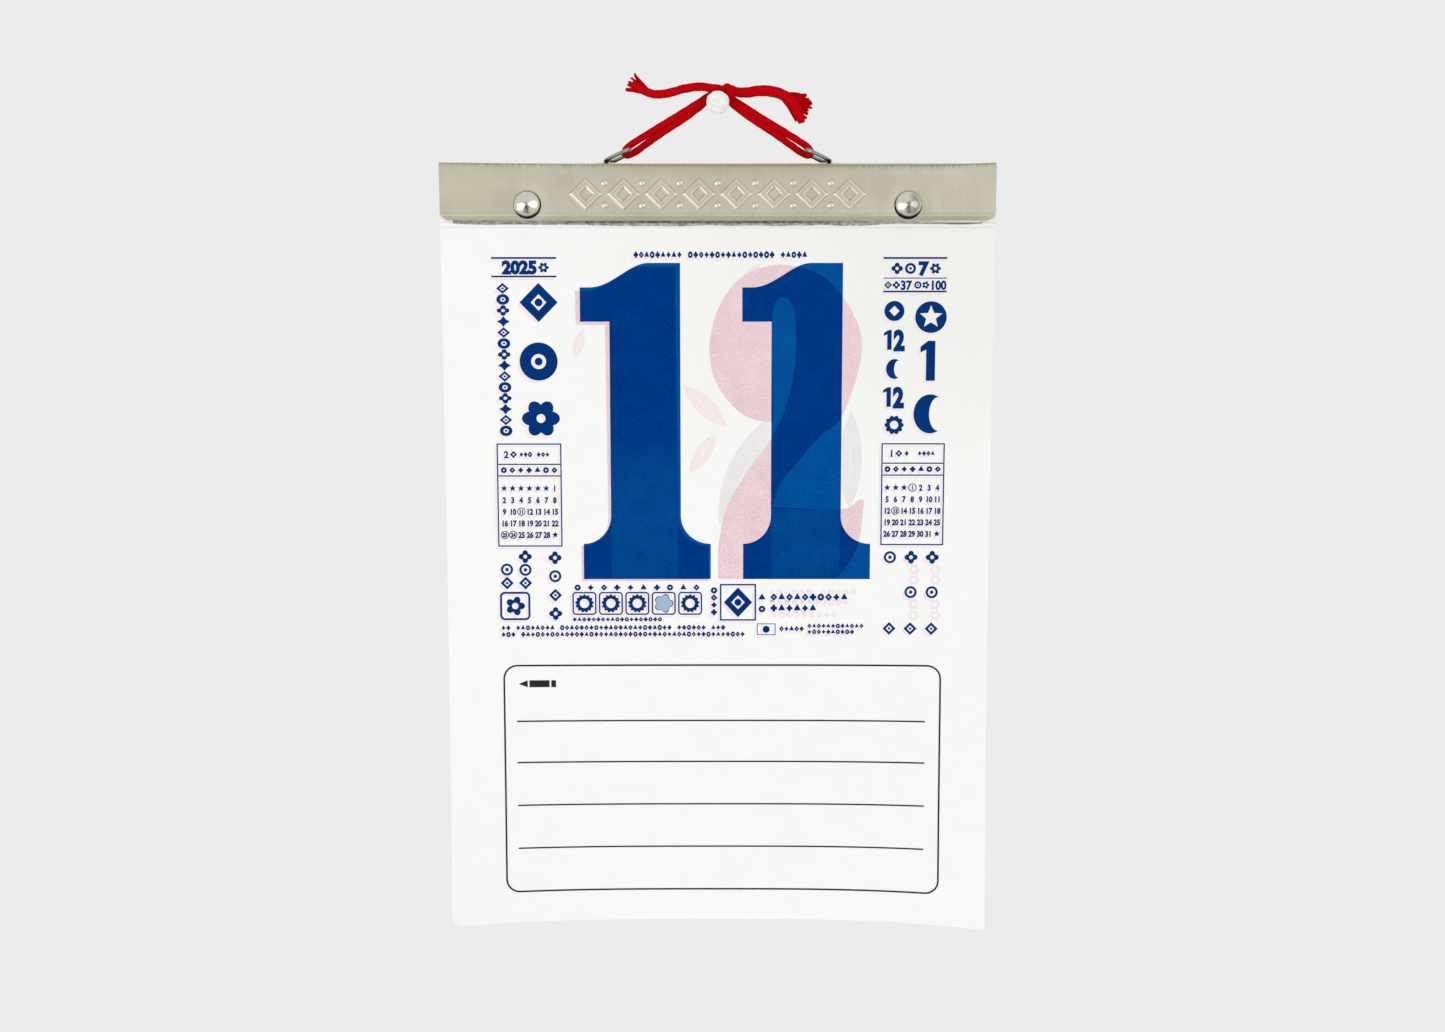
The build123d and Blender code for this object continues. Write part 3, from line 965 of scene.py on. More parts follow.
# %% Sizes of the strip
strip_half = 90.75
strip_top = -20.0
strip_crease = -37.0
strip_bottom = -38.62
strip_sheet = 0.3
front_depth = -20.002
lip_depth = -19.45
lip_bulge = 0.13
back_depth = -1.5
back_edge = -36.5
fold_radius = 0.9
corner_wide = 3.4
corner_tall = 2.7
end_drop = 0.38
top_sag = 0.9
squared_off = -35
ring_rest_x = 32.6
ring_rest_y = -4.0
rivet_places = {"left": -62.3, "right": 62.3}
rivet_height = -33.4
ornament_height = -30.2
ornament_pitch = 12.3
lozenge_places = [ornament_pitch * (number - 3.5) for number in range(8)]
lozenge_wide = 5.4
lozenge_tall = 5.2
lozenge_hollow = 0.45
lozenge_slope = 3.74
dot_places = [ornament_pitch * (number - 3) for number in range(7)]
dot_radius = 1.05
dot_rise = 3.6
relief_high = 0.42
relief_reach = 6.2
print(len(lozenge_places), "lozenges with", len(dot_places), "pairs of dots between them")

# %% Relief, dents and waves of the strip
def relief(x, z):
    """How far the pressed ornament stands out, in millimetres."""
    high = 0.0
    up = abs(z - ornament_height)
    if up < relief_reach:
        for middle in lozenge_places:
            across = abs(x - middle)
            if across < relief_reach:
                share = across / lozenge_wide + up / lozenge_tall
                inside = (1 - share) * lozenge_slope
                hollow = (lozenge_hollow - share) * lozenge_slope
                high = max(high, ease(inside / 0.6 + 0.1) * (1 - ease(hollow / 0.55 + 0.5)))
        for middle in dot_places:
            inside = dot_radius - math.hypot(x - middle, up - dot_rise)
            high = max(high, ease(inside / 0.6))
    return relief_high * high


def dent(x, z):
    """How far the strip is drawn in round a rivet, in millimetres."""
    away = min(math.hypot(x - place, z - rivet_height) for place in rivet_places.values())
    return 0.28 * (1 - ease((away - 3.0) / 5.0))


def unevenness(x, z):
    """Slow waves in the hand-folded sheet, in millimetres."""
    slow = 0.12 * noise.noise(Vector((x / 23, z / 9, 3.0)))
    return slow + 0.05 * noise.noise(Vector((x / 7, z / 6, 8.0)))


def ring_rest(x, depth):
    """How far the far leg of a ring that lies down has dented the strip's top."""
    along = (abs(x) - ring_rest_x) / 3.4
    across = (depth - ring_rest_y) / 1.1
    return 0.75 * math.exp(-along * along - across * across)


print("dent under a rivet", round(dent(rivet_places["left"], rivet_height), 2), "mm")

# %% Edges and folds of the strip
def unbent(x):
    """1 at the ends of the lip, which were left flat, and 0 along the rest."""
    return ease((x - 85.2) / 3.0) if x > 0 else ease((-x - 86.9) / 0.8)


def lowest(x):
    """The lower edge of the strip, which is cut away round at both ends."""
    past = max(0.0, (abs(x) - (strip_half - corner_wide)) / corner_wide)
    rise = corner_tall * (0.45 * past + 0.55 * (1 - math.sqrt(max(0.0, 1 - past * past))))
    bulge = lip_bulge * ease((x + 72) / 12) * ease((58 - x) / 12)
    return strip_bottom - end_drop * unbent(x) - bulge + rise


def sag(x):
    """How far the front fold has sunk between the ends of the strip, more to the right."""
    return top_sag * (1 - abs(x / strip_half) ** (6 if x > 0 else 1.2))


def front_place(x, z):
    """A point on the front of the strip, at a height."""
    depth = front_depth
    if z < strip_crease:
        lean = (strip_crease - z) / (strip_crease - strip_bottom)
        depth += (lip_depth - front_depth) * lean * (1 - 0.85 * unbent(x))
    soft = 0.08 * math.exp(-((z - strip_crease) / 0.45) ** 2)
    fade = ease((strip_top - 1.0 - z) / 3)
    return (x, depth + soft - relief(x, z) + dent(x, z) + unevenness(x, z) * fade, z)


def strip_place(x, row):
    """A point of the strip: row names a stretch of the profile and a place on it."""
    stretch, value = row
    if stretch == "front":
        if value < squared_off:
            share = (lowest(x) - squared_off) / (strip_bottom - squared_off)
            value = squared_off + (value - squared_off) * share
        across, depth, height = front_place(x, value)
        return (across, depth, height - sag(x) * ease((height + 26) / 5.1))
    lift = 0.06 * noise.noise(Vector((x / 11, 1.0, 5.0)))
    angle = math.radians(value)
    if stretch == "front fold":
        height = strip_top - fold_radius * (1 - math.sin(angle)) + lift - sag(x)
        return (x, front_depth + fold_radius * (1 - math.cos(angle)), height)
    if stretch == "top":
        sunk = sag(x) * (1 - ease((value - front_depth - fold_radius) / 6)) + ring_rest(x, value)
        return (x, value, strip_top + lift - sunk)
    if stretch == "back fold":
        height = strip_top - fold_radius * (1 - math.cos(angle)) + lift
        return (x, back_depth - fold_radius * (1 - math.sin(angle)), height)
    return (x, back_depth, value)


def fold_height(row):
    """How high a row lies on the strip's profile, before any sag."""
    stretch, value = row
    if stretch == "front fold":
        return strip_top - fold_radius * (1 - math.sin(math.radians(value)))
    if stretch == "top":
        return strip_top
    return value if stretch == "front" else strip_bottom


print("lower edge at", round(lowest(0), 2), "mm, and at the ends", round(lowest(strip_half), 2))

# %% Rows and columns of the strip
strip_columns = graded([
    (-strip_half, 0.3), (-86, 1.2), (-70, 0.5), (-55, 1.2), (-49, 0.27),
    (49, 1.2), (55, 0.5), (70, 1.2), (86, 0.3),
], strip_half)
front_steps = [(strip_bottom, 0.2), (-37.5, 0.16), (-36.5, 0.27), (-24.6, 0.6)]
top_steps = [(front_depth + fold_radius, 3), (-6.5, 0.6)]
profile = {
    "front": graded(front_steps, strip_top - fold_radius)[:-1],
    "front fold": graded([(0, 15)], 90)[:-1],
    "top": graded(top_steps, back_depth - fold_radius)[:-1],
    "back fold": graded([(0, 22.5)], 90)[:-1],
    "back": graded([(strip_top - fold_radius, 4)], back_edge),
}
strip_rows = [(stretch, value) for stretch, values in profile.items() for value in values]
print(len(strip_columns), "columns and", len(strip_rows), "rows")

# %% Make the strip
press_reach = 0.32
flat_press = 0.5


def press_mark(place):
    """0.5 on a flat stretch, less at the foot of a pressed edge for painted shade, and more on its
    crest and along the crease for a painted highlight.
    """
    x, depth, z = (number / mm for number in place)
    if depth > front_depth + 1.2 or z > strip_top - 1.5:
        return flat_press
    beside = relief(x - press_reach, z) + relief(x + press_reach, z)
    round_about = beside + relief(x, z - press_reach) + relief(x, z + press_reach)
    # The crease gets a painted highlight line.
    crease = math.exp(-(((z - strip_crease - 0.05) / 0.2) ** 2))
    painted_light = 0.16 + 0.1 * noise.noise(Vector((x / 13, 2.0, 6.0)))
    return flat_press - 3.4 * (round_about / 4 - relief(x, z)) + painted_light * crease


strip = grid_sheet(strip_columns, strip_rows, strip_place)
write_on(strip, "press", [press_mark(vertex.co) for vertex in strip.data.vertices])
write_on(strip, "fold", [fold_height(row) for row in strip_rows for column in strip_columns])
thickened(strip, strip_sheet)
settle(strip, "header_strip_pressed", tinplate, "calendar", "tinplate", "header_strip")

# %% [markdown]
# ## The rivets
# A rivet is a turned shape: a domed head with a slightly pointed crown, a shank
# through the block and a flat tail on its washer. Its half section is drawn as a row
# of points, spun round the rivet's axis and closed. Each head has its own tarnish and
# painted shade, and a thin dark disc under it is painted shadow.

# %% Shape, tarnish and painted shade of the rivets
head_radius = 4.35
head_high = 2.85
head_steps = 24
dome_share = 0.58
seat_radius = 4.5
seat_depth = -19.9
# Per head: where the smear runs, how much painted shade dims the right side, the size of the dark
# middle spot, and how low the disc of painted shadow sits.
rivet_marks_and_shade = {
    "left": {"smear_x": 0.1, "painted_light": 0.0, "middle_spot": 0.8, "middle_spot_edge": 0.4, "seat_drop": 0.24},
    "right": {"smear_x": -0.15, "painted_light": 0.5, "middle_spot": 1.3, "middle_spot_edge": 0.9, "seat_drop": 0.4},
}


def rivet_section():
    """The rivet's half section as (radius, depth), from the crown to the tail."""
    points = []
    for step in range(head_steps + 1):
        angle = math.radians(90 * step / head_steps)
        out = head_radius * math.sin(angle)
        dome = math.cos(angle) ** 0.9
        cone = 1 - out / head_radius
        crown = head_high * (dome_share * dome + (1 - dome_share) * cone)
        points.append((out, front_depth + 0.1 - crown))
    under = front_depth + 0.35
    points += [(head_radius - 0.1, under), (1.6, under), (1.6, -0.8), (3.0, -0.8)]
    return points + [(3.1, -0.7), (3.1, -0.4), (3.0, -0.3), (0, -0.3)]


def tarnish_at(place, seed, head_marks_and_shade):
    """Tarnish and painted shade on a head: painted shade at its lower rim and outer edge and, where
    asked, over its right side, a dark spot at its middle and a smear that runs down from it.
    """
    x, depth, z = place
    out = math.hypot(x, z)
    below = ease((-z / max(out, 0.01) - 0.45) / 0.45)
    rim = ease((out - 3.6) / 0.5) * below
    uneven = noise.noise(Vector((x * 0.9, z * 0.7, seed)))
    streaks = 0.7 + 0.5 * noise.noise(Vector((x * 2.6, z * 0.4, seed + 5)))
    smear = ease(1.15 - abs(x - head_marks_and_shade["smear_x"] + 0.5 * uneven) / 1.1)
    smear *= ease((0.1 - z) / 0.9) * ease((z + 3.5) / 0.9)
    painted_light = head_marks_and_shade["painted_light"] * ease((x + 0.2) / 2.0) * ease((4.1 - out) / 1.1)
    middle_spot = 0.6 * ease((head_marks_and_shade["middle_spot"] - out) / head_marks_and_shade["middle_spot_edge"])
    edge = 0.4 * ease((out - 4.0) / 0.3)
    return max(rim, smear * streaks, painted_light, middle_spot, edge)


print("half section of", len(rivet_section()), "points")

# %% Make the rivets
def rivet(side):
    """One rivet, spun round an axis that runs to the back."""
    place = rivet_places[side]
    shape = bmesh.new()
    chain = [shape.verts.new((out * mm, depth * mm, 0)) for out, depth in rivet_section()]
    for before, after in zip(chain, chain[1:]):
        shape.edges.new((before, after))
    piece = from_bmesh("rivet", shape)
    only(piece)
    bpy.ops.object.mode_set(mode="EDIT")
    bpy.ops.mesh.select_all(action="SELECT")
    bpy.ops.mesh.spin(steps=72, angle=2 * math.pi, center=(0, 0, 0), axis=(0, 1, 0))
    bpy.ops.object.mode_set(mode="OBJECT")
    closed_up(piece, 1e-6)
    smooth(piece)
    points = piece.data.vertices
    head_marks_and_shade = rivet_marks_and_shade[side]
    write_on(piece, "tarnish_and_shade", [tarnish_at(point.co / mm, place, head_marks_and_shade) for point in points])
    piece.location = (place * mm, 0, rivet_height * mm)
    return piece


def rivet_seat(side):
    """A dark disc under a head, as painted shadow that shows most at the head's lower rim."""
    across = rivet_places[side] - math.copysign(0.1, rivet_places[side])
    height = rivet_height - rivet_marks_and_shade[side]["seat_drop"]
    bpy.ops.object.select_all(action="DESELECT")
    bpy.ops.mesh.primitive_cylinder_add(
        vertices=72, radius=seat_radius * mm, depth=0.4 * mm,
        location=(across * mm, seat_depth * mm, height * mm), rotation=(math.pi / 2, 0, 0),
    )
    piece = bpy.context.object
    bpy.ops.object.mode_set(mode="EDIT")
    bpy.ops.mesh.select_all(action="SELECT")
    bpy.ops.mesh.bevel(offset=0.06 * mm, segments=2)
    bpy.ops.object.mode_set(mode="OBJECT")
    smooth(piece)
    return piece


for side in rivet_places:
    settle(rivet(side), "rivet_domed_" + side, nickel, "calendar", "nickel", "rivet_" + side)
    # Under each head, a disc of painted shadow.
    settle(rivet_seat(side), "rivet_shadow_disc_" + side, rivet_shadow_finish, "calendar", "nickel")

# %% [markdown]
# ## The block of leaves
# The block is 353 thin leaves in twelve months. One leaf is a box, an array repeats
# it for its month, and each leaf is then shifted by a hair, because a block is never
# cut quite even. The CAD says how deep each month is, and so how many leaves it has.

# %% Months of leaves
leaf_half = 91.0
leaf_top = -21.2
leaf_bottom = -277.6
paper = 0.044
months = (
    "january", "february", "march", "april", "may", "june",
    "july", "august", "september", "october", "november", "december",
)


def pile(back, front, bottom, top, leaves, seed):
    """A pile of leaves between two depths, each a little out of line."""
    chance = random.Random(seed)
    pitch = (back - front) / leaves
    bpy.ops.object.select_all(action="DESELECT")
    bpy.ops.mesh.primitive_cube_add(size=1, location=(0, 0, 0))
    piece = bpy.context.object
    piece.scale = (2 * leaf_half * mm, pitch * 0.96 * mm, (top - bottom) * mm)
    piece.location = (0, (back - pitch / 2) * mm, (top + bottom) / 2 * mm)
    bpy.ops.object.transform_apply(location=True, rotation=True, scale=True)
    row = piece.modifiers.new("leaves", "ARRAY")
    row.count = leaves
    row.use_relative_offset = False
    row.use_constant_offset = True
    row.constant_offset_displace = (0, -pitch * mm, 0)
    apply_modifiers(piece)
    drift = chance.uniform(-0.08, 0.08)
    for leaf in range(leaves):
        drift = 0.9 * drift + chance.uniform(-0.03, 0.03)
        sideways = drift + chance.uniform(-0.05, 0.05)
        drop = chance.uniform(-0.06, 0.06)
        for corner in piece.data.vertices[leaf * 8:leaf * 8 + 8]:
            held = corner.co.z > -0.1
            corner.co.x += sideways * mm * (0.35 if held else 1)
            corner.co.z += drop * mm * (0 if held else 1)
    return piece


for number, month in enumerate(months):
    low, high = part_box(month + "_leaves")
    leaves = round((high[1] - low[1]) / mm / paper)
    piece = pile(high[1] / mm, low[1] / mm, leaf_bottom, leaf_top, leaves, 20 + number)
    settle(piece, month + "_block", edge_paper, "calendar", "paper", month + "_leaves")

# %% [markdown]
# ## Today's leaf, the next leaf and the loose ones behind them
# A loose leaf hangs flat from the strip and curls forward at its lower corners. It is
# a grid whose depth is a formula in x and z, so that the print can follow the same
# formula. Its lower left corner is worn round.

# %% Leaf formula
held_height = -39.0
leaf_wave = 0.12
curl_left = 0.84
curl_right = 1.17
corner_worn = 4.0
fine_edge = 4
leaf_columns = graded([(-leaf_half, 0.5), (-leaf_half + fine_edge, 2.5)], leaf_half)


def leaf_depth(x, z, front, curl):
    """The depth of a leaf's front at a place, in millimetres."""
    down = max(0.0, held_height - z) / (held_height - leaf_bottom)
    wave = leaf_wave * ease(down * 4) * math.sin(x / 31 + 0.7) * math.sin(z / 43)
    side = curl_right if x > 0 else curl_left
    return front - curl * (side * abs(x / leaf_half) ** 3.0 * down ** 3.2) + wave


def worn_corner(x, z):
    """Pulls the square lower left corner in to a round one."""
    left, low = -leaf_half + corner_worn, leaf_bottom + corner_worn
    across, down = (left - x) / corner_worn, (low - z) / corner_worn
    if across <= 0 or down <= 0:
        return x, z
    round_across = across * math.sqrt(1 - down * down / 2)
    round_down = down * math.sqrt(1 - across * across / 2)
    return left - corner_worn * round_across, low - corner_worn * round_down


def loose_leaf(front, curl, top, thickness):
    """A leaf as a curled grid with a little thickness."""
    rows = graded([(leaf_bottom, 0.5), (leaf_bottom + fine_edge, 2.6)], top)

    def place(x, z):
        x, z = worn_corner(x, z)
        return (x, leaf_depth(x, z, front, curl), z)

    return thickened(grid_sheet(leaf_columns, rows, place), thickness)


print(len(leaf_columns), "columns of points in a leaf")

# %% Make the loose leaves
today_front = -18.432
today_curl = 9.0
today_top = -40.95
today_sheet = 0.1
next_front = -18.132
next_curl = 7.0
block_front = -18.032
loose_curls = [5.6, 4.4, 3.4, 2.6, 1.9, 1.3, 0.8, 0.4]
today = loose_leaf(today_front, today_curl, today_top, today_sheet)
settle(today, "today_leaf_curled", leaf_paper, "day_leaf", "paper", "today_leaf")
following = loose_leaf(next_front, next_curl, leaf_top, 0.09)
settle(following, "next_leaf_curled", leaf_paper, "calendar", "paper", "next_leaf")
for number, curl in enumerate(loose_curls):
    piece = loose_leaf(block_front + 0.004 + 0.01 * number, curl, leaf_top, 0.03)
    settle(piece, "loose_leaf_%d" % (number + 1), leaf_paper, "calendar", "paper")

# %% [markdown]
# ## What the strip holds, and the torn edge
# Today's leaf is one of a pad whose first ten leaves are gone. Their stubs stay under
# the strip, and their torn edges show below its lip as a ragged line, painted grey as
# shade. The narrow margin between the strip and the tear line turns with the leaf, and
# so does the part of the ragged line that lies below the bend. The torn paper has a
# painted shadow under the lip along the middle of the strip, and it is pale at the
# right, where it has lifted, with a painted shadow line under its lifted edge.

# %% Margin, stubs and torn paper
stub_back = -18.332
stub_front = -18.872
stub_bottom = -39.35
stub_leaves = 11


def margin_place(x, z):
    """A point of the margin, level with the leaf below it."""
    return (x, leaf_depth(x, z, today_front, today_curl), z)


margin_columns = graded([(-leaf_half, 1.0)], leaf_half)
margin = grid_sheet(margin_columns, [-40.9, -40.4, -39.9, -39.45], margin_place)
thickened(margin, today_sheet)
settle(margin, "leaf_margin_strip", leaf_paper, "leaf_margin", "paper", "today_margin")
stubs = pile(stub_back, stub_front, stub_bottom, leaf_top, stub_leaves, 50)
settle(stubs, "held_stub_leaves", leaf_paper, "calendar", "paper", "held_stubs")

# The torn paper's grey is painted shade under the lip.
torn_grain = ((1, 1, 1.8), 520, 5, 0.75)
torn_paper = grained_finish(
    "torn_paper", torn_grain, srgb(116, 116, 118), srgb(204, 204, 203), 0.35, 0.65,
    depth=0.1, strength=0.6, Roughness=0.9,
)
torn = torn_paper.node_tree
torn_run = noise_on(torn, object_places(torn), *torn_grain)
# Painted shadow just under the lip, darkest along the middle of the strip.
under_lip_shadow = between(torn, torn_run, srgb(40, 38, 38), srgb(144, 141, 136), 0.35, 0.65)
under_lip_shadow_mask = times(torn, across_mask(torn, -56, -40, 0.35, 1.0), across_mask(torn, 24, 50, 1.0, 0.25))
worn_by(torn, times(torn, under_lip_shadow_mask, height_mask(torn, -39.75, -39.35)), under_lip_shadow)
# Less painted shade towards the right.
worn_by(torn, across_mask(torn, 46, 62, 0.0, 0.3), srgb(196, 195, 190))
# At the right the torn edge has lifted: pale paper, with a painted shadow line under it.
lifted = across_mask(torn, 60, 80, 0.0, 0.85)
worn_by(torn, times(torn, lifted, height_mask(torn, -39.34, -39.18)), srgb(228, 227, 222))
worn_by(torn, times(torn, lifted, height_mask(torn, -39.26, -39.38)), srgb(118, 117, 114))

# %% Torn edges
fringe_half = 86.7
fringe_steps = 420
fringe_layers = 4
fringe_top = -37.7
fringe_low = -41
bend_height = -39.42
torn_knots = [
    (-87, -39.5), (-77, -40.0), (-55, -40.05), (-45, -40.1), (-31, -40.4), (-9, -40.4),
    (-3, -40.2), (5, -40.4), (29, -40.3), (33, -40.1), (41, -40.4), (51, -40.1),
    (58, -39.75), (70, -39.85), (80, -39.88), (87, -39.6),
]


def torn_low(x, layer):
    """How low the torn edge of one layer reaches: a row of heights, made ragged."""
    for (left, start), (right, end) in zip(torn_knots, torn_knots[1:]):
        if x <= right:
            break
    usual = start + (end - start) * (x - left) / (right - left)
    rough = noise.noise(Vector((x / 9, layer * 3.1, 0.5)))
    rough += 0.6 * noise.noise(Vector((x / 2.2, layer * 7.7, 4.0)))
    nicks = 0.5 * noise.noise(Vector((x * 1.7, layer * 5.3, 9.0)))
    return usual + 0.17 * layer - 0.2 * (rough + nicks)


def torn_layers(name, first_depth, pitch, top, floor_height):
    """Thin ragged layers, one in front of another, between two heights."""
    shape = bmesh.new()
    for layer in range(fringe_layers):
        back = first_depth - layer * pitch
        front = back - pitch * 0.9
        columns = []
        for step in range(fringe_steps + 1):
            x = -fringe_half + 2 * fringe_half * step / fringe_steps
            low = min(top - 0.02, max(floor_height, torn_low(x, layer)))
            places = ((x, front, top), (x, front, low), (x, back, low), (x, back, top))
            corners = [[number * mm for number in place] for place in places]
            columns.append([shape.verts.new(corner) for corner in corners])
        for left, right in zip(columns, columns[1:]):
            for number in range(4):
                after = (number + 1) % 4
                shape.faces.new((left[number], left[after], right[after], right[number]))
        shape.faces.new(list(reversed(columns[0])))
        shape.faces.new(columns[-1])
    bmesh.ops.recalc_face_normals(shape, faces=shape.faces)
    return from_bmesh(name, shape)


torn_stubs = torn_layers("torn_stubs", -18.876, 0.055, fringe_top, bend_height)
settle(torn_stubs, "torn_stub_edges", torn_paper, "calendar", "paper")
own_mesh(torn_stubs)
torn_margin = torn_layers("torn_margin", -18.5, 0.09, bend_height - 0.02, fringe_low)
settle(torn_margin, "torn_edges", torn_paper, "leaf_margin", "paper", "torn_fringe")
dress(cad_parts["backing_board"], chipboard)

# %% [markdown]
# ## Shapes of the print
# The print is made as thin films of ink. Each shape is first drawn flat, in page
# millimetres, as closed outlines, and outlines inside outlines become holes. Bars,
# lozenges, stars, rings and crescents make up the small marks, and plain numbers are
# drawn as figures.

# %% Outlines
def arc(x, z, wide, high, start, end, count=14):
    """Points on an arc of an ellipse, from one angle to another."""
    angles = [math.radians(start + (end - start) * step / count) for step in range(count + 1)]
    return [(x + wide * math.cos(angle), z + high * math.sin(angle)) for angle in angles]


def disc(x, z, radius, count=40):
    """A round outline."""
    return arc(x, z, radius, radius, 0, 360, count)[:-1]


def bar(left, low, right, high):
    """A plain rectangle."""
    return [(left, low), (right, low), (right, high), (left, high)]


def rules(left, right, *bands):
    """Lines across from left to right, each between two heights."""
    return [bar(left, low, right, high) for low, high in bands]


def rounded(left, low, right, high, radius):
    """A rectangle with round corners."""
    near, far = left + radius, right - radius
    under, over = low + radius, high - radius
    outline = []
    for turn, (x, z) in enumerate(((far, over), (near, over), (near, under), (far, under))):
        outline += arc(x, z, radius, radius, 90 * turn, 90 * turn + 90, 8)
    return outline


def framed(left, low, right, high, radius, line):
    """A thin frame with round corners: an outline and its inner outline."""
    inner = (left + line, low + line, right - line, high - line, max(radius - line, 0.05))
    return [rounded(left, low, right, high, radius), rounded(*inner)]


def lozenge(x, z, wide, high):
    """A lozenge."""
    return [(x - wide / 2, z), (x, z - high / 2), (x + wide / 2, z), (x, z + high / 2)]


def star(x, z, outer, inner, points):
    """A star with straight sides."""
    outline = []
    for number in range(2 * points):
        reach = outer if number % 2 == 0 else inner
        angle = math.pi / 2 + math.pi * number / points
        outline.append((x + reach * math.cos(angle), z + reach * math.sin(angle)))
    return outline


def flower(x, z, radius, petals, depth, count=96):
    """A rosette with round petals."""
    outline = []
    for number in range(count):
        angle = 2 * math.pi * number / count
        reach = radius * (1 - depth + depth * abs(math.cos(petals / 2 * angle)))
        outline.append((x + reach * math.cos(angle), z + reach * math.sin(angle)))
    return outline


def crescent(x, z, wide, high, count=24):
    """A moon: an outer half ellipse and a flatter inner one."""
    inner = arc(x + 0.24 * wide, z, 0.27 * wide, 0.43 * high, 300, 60, count)
    return arc(x, z, wide / 2, high / 2, 60, 300, count) + inner[1:-1]


print("outlines ready")

# %% [markdown]
# The big numeral has a heavy stem, a flag that swings into it and a flat foot with
# hollow brackets. Its outline is written once and moved for the second figure. The
# next day's number shows through from behind, and its second figure is drawn as a
# smooth line through points, with corners where a point is marked 0.

# %% Big numerals
numeral_low = -157.9
numeral_tall = 105.5
second_figure = 53.6


def big_one(shift=0):
    """The outline of the numeral 1."""
    outline = [(-45.5, -60.4), (-42.7, -60.4)]
    for step in range(1, 17):
        share = step / 16
        outline.append((-42.7 + 19.8 * share, -60.4 + 8.0 * ease(share) ** 1.15))
    outline += [(-12.4, -52.4), (-12.4, -136.4)]
    outline += arc(-2.4, -136.4, 10.0, 9.5, 180, 270)
    outline += [(-2.4, numeral_low), (-45.1, numeral_low), (-45.1, -145.9)]
    outline += arc(-45.1, -136.4, 9.3, 9.5, 270, 360)
    outline += [(-35.8, -71.6), (-45.5, -71.6)]
    return [(x + shift, z) for x, z in outline]


two_outline = [
    (-2.7, -79.3, 1), (0.7, -66.1, 1), (9.0, -56.3, 1), (22.4, -53.1, 1), (37.0, -58.6, 1),
    (47.6, -77.6, 1), (42.0, -101.5, 1), (34.1, -109.6, 1), (25.5, -119.6, 1), (20.6, -126.2, 1),
    (18.2, -133.4, 0), (41.3, -134.1, 1), (47.6, -130.7, 0), (49.0, -131.0, 0), (47.1, -146.2, 1),
    (41.2, -156.2, 1), (36.0, -157.9, 0), (0.1, -157.9, 0), (0.4, -145.3, 1), (3.4, -132.4, 1),
    (10.8, -120.2, 1), (17.7, -110.5, 1), (22.5, -100.0, 1), (25.6, -85.6, 1), (25.5, -69.0, 1),
    (21.8, -63.5, 1), (18.1, -69.0, 1), (18.3, -95.0, 1), (18.6, -104.8, 0), (12.0, -104.0, 1),
    (5.7, -100.2, 1), (-0.9, -90.9, 1),
]


def curved_outline(points, count=8):
    """A closed outline through points, smooth except at corners marked 0."""
    outline = []
    total = len(points)
    for number in range(total):
        before, start = points[number - 1], points[number]
        end, after = points[(number + 1) % total], points[(number + 2) % total]
        for step in range(count):
            t = step / count
            place = []
            for axis in (0, 1):
                straight = end[axis] - start[axis]
                leave = (end[axis] - before[axis]) / 2 if start[2] else straight
                reach = (after[axis] - start[axis]) / 2 if end[2] else straight
                cubic = (2 * t**3 - 3 * t**2 + 1) * start[axis] + (t**3 - 2 * t**2 + t) * leave
                cubic += (-2 * t**3 + 3 * t**2) * end[axis] + (t**3 - t**2) * reach
                place.append(cubic)
            outline.append(tuple(place))
    return outline


def seen_through(x, z):
    """Where a point of the next leaf shows: it lies askew, and further off at the top."""
    up = (z - numeral_low) / numeral_tall
    return (x - 0.75 - 0.85 * up, z - 0.7 - 0.5 * up)


numerals = [big_one(), big_one(second_figure)]
ghost_numerals = [[seen_through(x, z) for x, z in big_one()], curved_outline(two_outline)]
paled_parts = [
    bar(-35.7, -157.8, -13.5, -109.0),
    [
        (17.9, -134.2), (41.0, -134.2), (41.0, -155.6),
        (38.6, -157.2), (36.5, -157.8), (17.9, -157.8),
    ],
]
print("numerals of", [len(outline) for outline in numerals + ghost_numerals], "points")

# %% [markdown]
# ## Films of ink
# A flat curve is filled, given a hair of thickness and made a mesh. It is cut across
# in both directions, so that it has points wherever the leaf bends, and then its
# points are moved onto the leaf by the leaf's own formula.

# %% Fill, cut and lay a film
film_half = 0.004
figure_height = 0.729
leaf_shapes = {"day_leaf": (today_front, today_curl), "calendar": (next_front, next_curl)}


def flat_film(outlines, half=film_half):
    """Filled outlines as a thin flat mesh, with the page in X and Y."""
    curve = bpy.data.curves.new("film", "CURVE")
    curve.dimensions = "2D"
    curve.fill_mode = "BOTH"
    curve.extrude = half * mm
    for outline in outlines:
        spline = add_spline(curve, "POLY", [(x, z, 0) for x, z in outline])
        spline.use_cyclic_u = True
    return new_piece("film", mesh_from(curve))


def figures(text, x, z, height, wide, bold):
    """Plain figures, centred on a place, as a flat mesh to join to a film."""
    curve = bpy.data.curves.new("figures", "FONT")
    curve.body = text
    curve.size = height / figure_height * mm
    curve.align_x = "CENTER"
    curve.extrude = film_half * mm
    curve.resolution_u = 3
    curve.offset = bold * height * mm
    mesh = mesh_from(curve)
    for vertex in mesh.vertices:
        vertex.co.x = vertex.co.x * wide + x * mm
        vertex.co.y += (z - height / 2) * mm
    return new_piece("figures", mesh)


